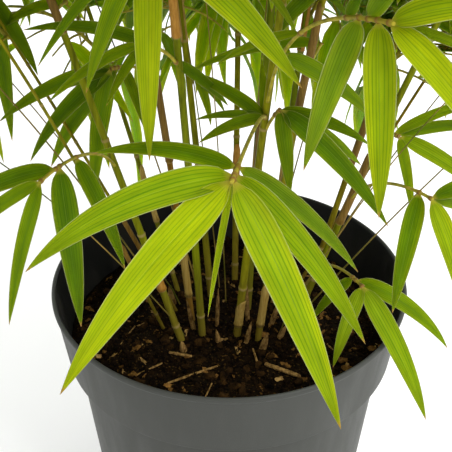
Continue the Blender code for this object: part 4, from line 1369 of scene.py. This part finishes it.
CROWN_TONES = {
    # lit and shaded stripes of the leaves that stand in light, in half shade and deep inside, dealt
    # by height as painted light; the deep ones are painted lighter than the rest, painted light
    # that makes up for the shade inside the crown
    "crown_leaves_sunlit": (
        ((0.290, 0.390, 0.003), (0.170, 0.280, 0.003)),
        ((0.200, 0.310, 0.002), (0.110, 0.210, 0.002)),
        ((0.130, 0.230, 0.002), (0.070, 0.150, 0.002)),
    ),
    "crown_leaves_half_shade": (
        ((0.264, 0.407, 0.003), (0.154, 0.286, 0.003)),
        ((0.187, 0.319, 0.002), (0.105, 0.220, 0.002)),
        ((0.140, 0.260, 0.003), (0.078, 0.172, 0.002)),
    ),
    "crown_leaves_deep": (
        ((0.365, 0.570, 0.003), (0.210, 0.400, 0.003)),
        ((0.275, 0.475, 0.003), (0.160, 0.325, 0.002)),
        ((0.200, 0.380, 0.003), (0.115, 0.250, 0.002)),
    ),
}


def in_open_front(point):
    """Whether this point is where the front is open, below the front foliage."""
    half_width = OPEN_FRONT_HALF_WIDTH + OPEN_FRONT_TAPER * (point.y - OPEN_FRONT_Y)
    if abs(point.x) > half_width:
        return False
    if point.y < OPEN_FRONT_Y:
        return point.z < OPEN_FRONT_FOOT + OPEN_FRONT_SLOPE * (OPEN_FRONT_Y - point.y)
    return point.y < OPEN_BACK_Y and point.z < OPEN_BACK_FOOT


def in_sky_window(point):
    """Whether this point stands in one of the windows of sky, seen from the front."""
    eye = camera.location
    meets = eye + (point - eye) * (eye.y / (eye.y - point.y))
    return any(
        math.hypot(meets.x - across, meets.z - height) < radius
        for across, height, radius in SKY_WINDOWS
    )


def in_core(point):
    """Whether this point is in the middle of the clump, where there is little light for leaves."""
    return math.hypot(point.x, point.y - CORE_Y) < CORE_RADIUS and point.z < CORE_TOP


def leaf_fan(twig, heading, rise, count, chance):
    """The leaves at a twig's end: one at the tip, the others alternating behind it."""
    fan = []
    for index in range(count):
        side = 1 if index % 2 else -1
        spread = chance.uniform(*(SIDE_SPREADS if index else END_SPREADS))
        fan.append((
            along(twig, LAST_LEAF - index * LEAF_SPACING)[0],
            heading + side * spread,
            rise - chance.uniform(*LEAF_DROPS),
            chance.uniform(*LEAF_DROOPS),
            chance.uniform(*LEAF_LENGTHS) * (1 - LEAF_LOSS * index),
            chance.uniform(*LEAF_WIDTHS),
        ))
    return fan


def twig_fork(stem, heading, rise, length, count, chance):
    """The side twigs of a branch, alternating left and right along its stem."""
    fork = []
    for index in range(count):
        side = 1 if index % 2 else -1
        fork.append((
            along(stem, TWIG_FIRST + TWIG_SPAN * index / (count - 1))[0],
            heading + side * chance.uniform(*TWIG_SPREADS),
            rise + chance.uniform(*TWIG_RISES),
            length * chance.uniform(*TWIG_LENGTHS),
        ))
    return fork


def twiglet_at(root, heading, rise, length):
    """A twiglet's points."""
    return arc(root, heading, rise, TWIGLET_DROOP, 0, length, TWIGLET_STEPS)


def side_twiglets(forks, finer):
    """Twiglets along a branch's stem and twigs, each as its fan of leaves and its points."""
    twiglets = []
    for kind, course, heading, rise in forks:
        for index, share in enumerate(TWIGLET_SHARES[kind]):
            side = -1 if index % 2 else 1
            turned_by = heading + side * finer.uniform(*TWIGLET_SPREADS)
            raised = rise + finer.uniform(*TWIGLET_RISES)
            root = along(course, share)[0]
            twiglet = twiglet_at(root, turned_by, raised, finer.uniform(*TWIGLET_LENGTHS))
            twiglet_end = raised - TWIGLET_DROOP / 2
            fan = leaf_fan(twiglet, turned_by, twiglet_end, TWIGLET_LEAVES, finer)
            if not in_open_front(twiglet[-1]):
                twiglets.append((fan, twiglet))
    return twiglets


def foot_twiglets(stem, heading, finer):
    """Twiglets close together at a side branch's foot, as their fans and points."""
    twiglets = []
    for index in range(FOOT_TWIGLETS):
        side = -1 if index % 2 else 1
        turned_by = heading + side * finer.uniform(*FOOT_SPREADS)
        raised = finer.uniform(*FOOT_RISES)
        root = along(stem, FOOT_SPACING * (index + 1))[0]
        twiglet = twiglet_at(root, turned_by, raised, finer.uniform(*TWIGLET_LENGTHS))
        if not in_open_front(twiglet[-1]):
            fan = leaf_fan(twiglet, turned_by, raised + FOOT_LIFT, TWIGLET_LEAVES, finer)
            twiglets.append((fan, twiglet))
    return twiglets


def leaf_fits(rib, stem, low, high):
    """Whether a leaf with this rib stays near its stem, with its tip from low to high, and out
    of the open front and the windows of sky.
    """
    tip = rib[-1]
    if min((tip - point).length for point in stem) > SPACE_REACH:
        return False
    if in_open_front(tip) or in_open_front((rib[0] + tip) / 2):
        return False
    if any(in_sky_window(point) for point in rib[1:]):
        return False
    return all(low[i] <= tip[i] <= high[i] for i in range(3))


def grow_branch(name, start, heading, rise, droop, length, twig_count, seed):
    """A branch's limbs, and its fans of leaves, each fan with its own list of leaves."""
    chance = random.Random(seed)
    stem = arc(start, heading, rise, droop, 0, length, BRANCH_STEPS)
    lines = [tapering(stem, *BRANCH_RADII)]
    end_rise = rise - droop / 2
    fans = [leaf_fan(stem, heading, end_rise, STEM_LEAVES, chance)]
    forks = [("stem", stem, heading, end_rise)]
    fork = twig_fork(stem, heading, rise, length, twig_count, chance)
    for root, twig_heading, twig_rise, twig_length in fork:
        twig = arc(root, twig_heading, twig_rise, TWIG_DROOP, 0, twig_length, SHORT_STEPS)
        twig_end = twig_rise - TWIG_DROOP / 2
        fan = leaf_fan(twig, twig_heading, twig_end, TWIG_LEAVES, chance)
        if not in_open_front(twig[-1]):
            lines.append(tapering(twig, *TWIG_RADII))
            fans.append(fan)
            forks.append(("twig", twig, twig_heading, twig_end))
    finer = random.Random(1000 + seed)
    twiglets = side_twiglets(forks, finer)
    hang = CROWN_MARGIN
    if name in BRANCHES:
        hang = FOOT_HANG
        twiglets += foot_twiglets(stem, heading, finer)
    fans += [fan for fan, _ in twiglets]
    low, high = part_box(name)
    low = (low[0] - CROWN_MARGIN, low[1] - CROWN_MARGIN, low[2] - hang)
    high = [side + CROWN_MARGIN for side in high]
    kept = []
    for fan in fans:
        grown_leaves = []
        for root, leaf_heading, leaf_rise, leaf_droop, leaf_length, width in fan:
            leaf_length *= LEAF_SCALE
            rib = arc(root, leaf_heading, leaf_rise, leaf_droop, 0, leaf_length, SHORT_STEPS)
            if not leaf_fits(rib, stem, low, high):
                continue
            if in_core(root) and finer.random() < CORE_LOSS:
                continue
            grown_leaves.append((root, leaf_heading, leaf_rise, leaf_droop, leaf_length, width))
        kept.append(grown_leaves)
        if grown_leaves:
            lines += [tapering(twiglet, *TWIGLET_RADII) for bare, twiglet in twiglets if bare is fan]
    return lines, kept


crown_leaves = {tone: [] for tone in CROWN_TONES}
dealt = random.Random(21)


def dress(fans):
    """Turns fans of leaves into blades and deals each fan out by its height to a tone of painted
    light: sunlit high up, then half shade, then deep inside, which is painted lightest.
    """
    for fan in fans:
        if not fan:
            continue
        height = fan[0][0].z + dealt.uniform(-HEIGHT_SCATTER, HEIGHT_SCATTER)
        tone = "crown_leaves_deep"
        if height > SUNLIT_HEIGHT:
            tone = "crown_leaves_sunlit"
        elif height > HALF_SHADE_HEIGHT:
            tone = "crown_leaves_half_shade"
        for root, heading, rise, droop, length, width in fan:
            light = (Vector((0.0, 0.0, 1.0)) + direction(heading, 0) * OUTWARD).normalized()
            half = length * LEAF_WIDTH * width / 2
            blade = leaf_points(
                root, heading, rise, droop, length, half, light, CROWN_ROWS, CROWN_COLUMNS, dealt,
            )
            number = dealt.randrange(len(CROWN_TONES[tone]))
            crown_leaves[tone].append((blade, number, dealt.random() < 0.5))


tip_twigs = {}
for seed, culm in enumerate(CULMS):
    name = culm.replace("culm", "leaves_tip")
    middle, lead, _ = culm_at(culm, math.inf)
    rise = math.degrees(math.asin(lead.z)) - TIP_DROOP / 2
    tip_twigs[name], fans = grow_branch(
        name, middle - lead * TIP_SINK, CULMS[culm][2], rise, TIP_DROOP, TIP_LENGTH, TIP_TWIGS, seed,
    )
    dress(fans)
side_twigs = {}
for seed, (name, (culm, height, heading, length)) in enumerate(BRANCHES.items(), 100):
    start = stem_start(culm, height, heading, BRANCH_RISE + BRANCH_DROOP / 2)
    side_twigs[name], fans = grow_branch(
        name, start, heading, BRANCH_RISE, BRANCH_DROOP, length, BRANCH_TWIGS, seed,
    )
    dress(fans)

for name, branches in (("tip_twigs", tip_twigs), ("side_twigs", side_twigs)):
    piece = limbs(name, sum(branches.values(), []), CROWN_TWIG_SIDES, twig_skin)
    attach(piece, "root")
    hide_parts(*branches)
for name, tones in CROWN_TONES.items():
    skin = leaf_finish(name, tones, 0.9, 0.03, 0.5)
    piece = leaf_piece(name, crown_leaves[name], CROWN_ROWS, CROWN_COLUMNS, len(tones), skin)
    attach(piece, "root")
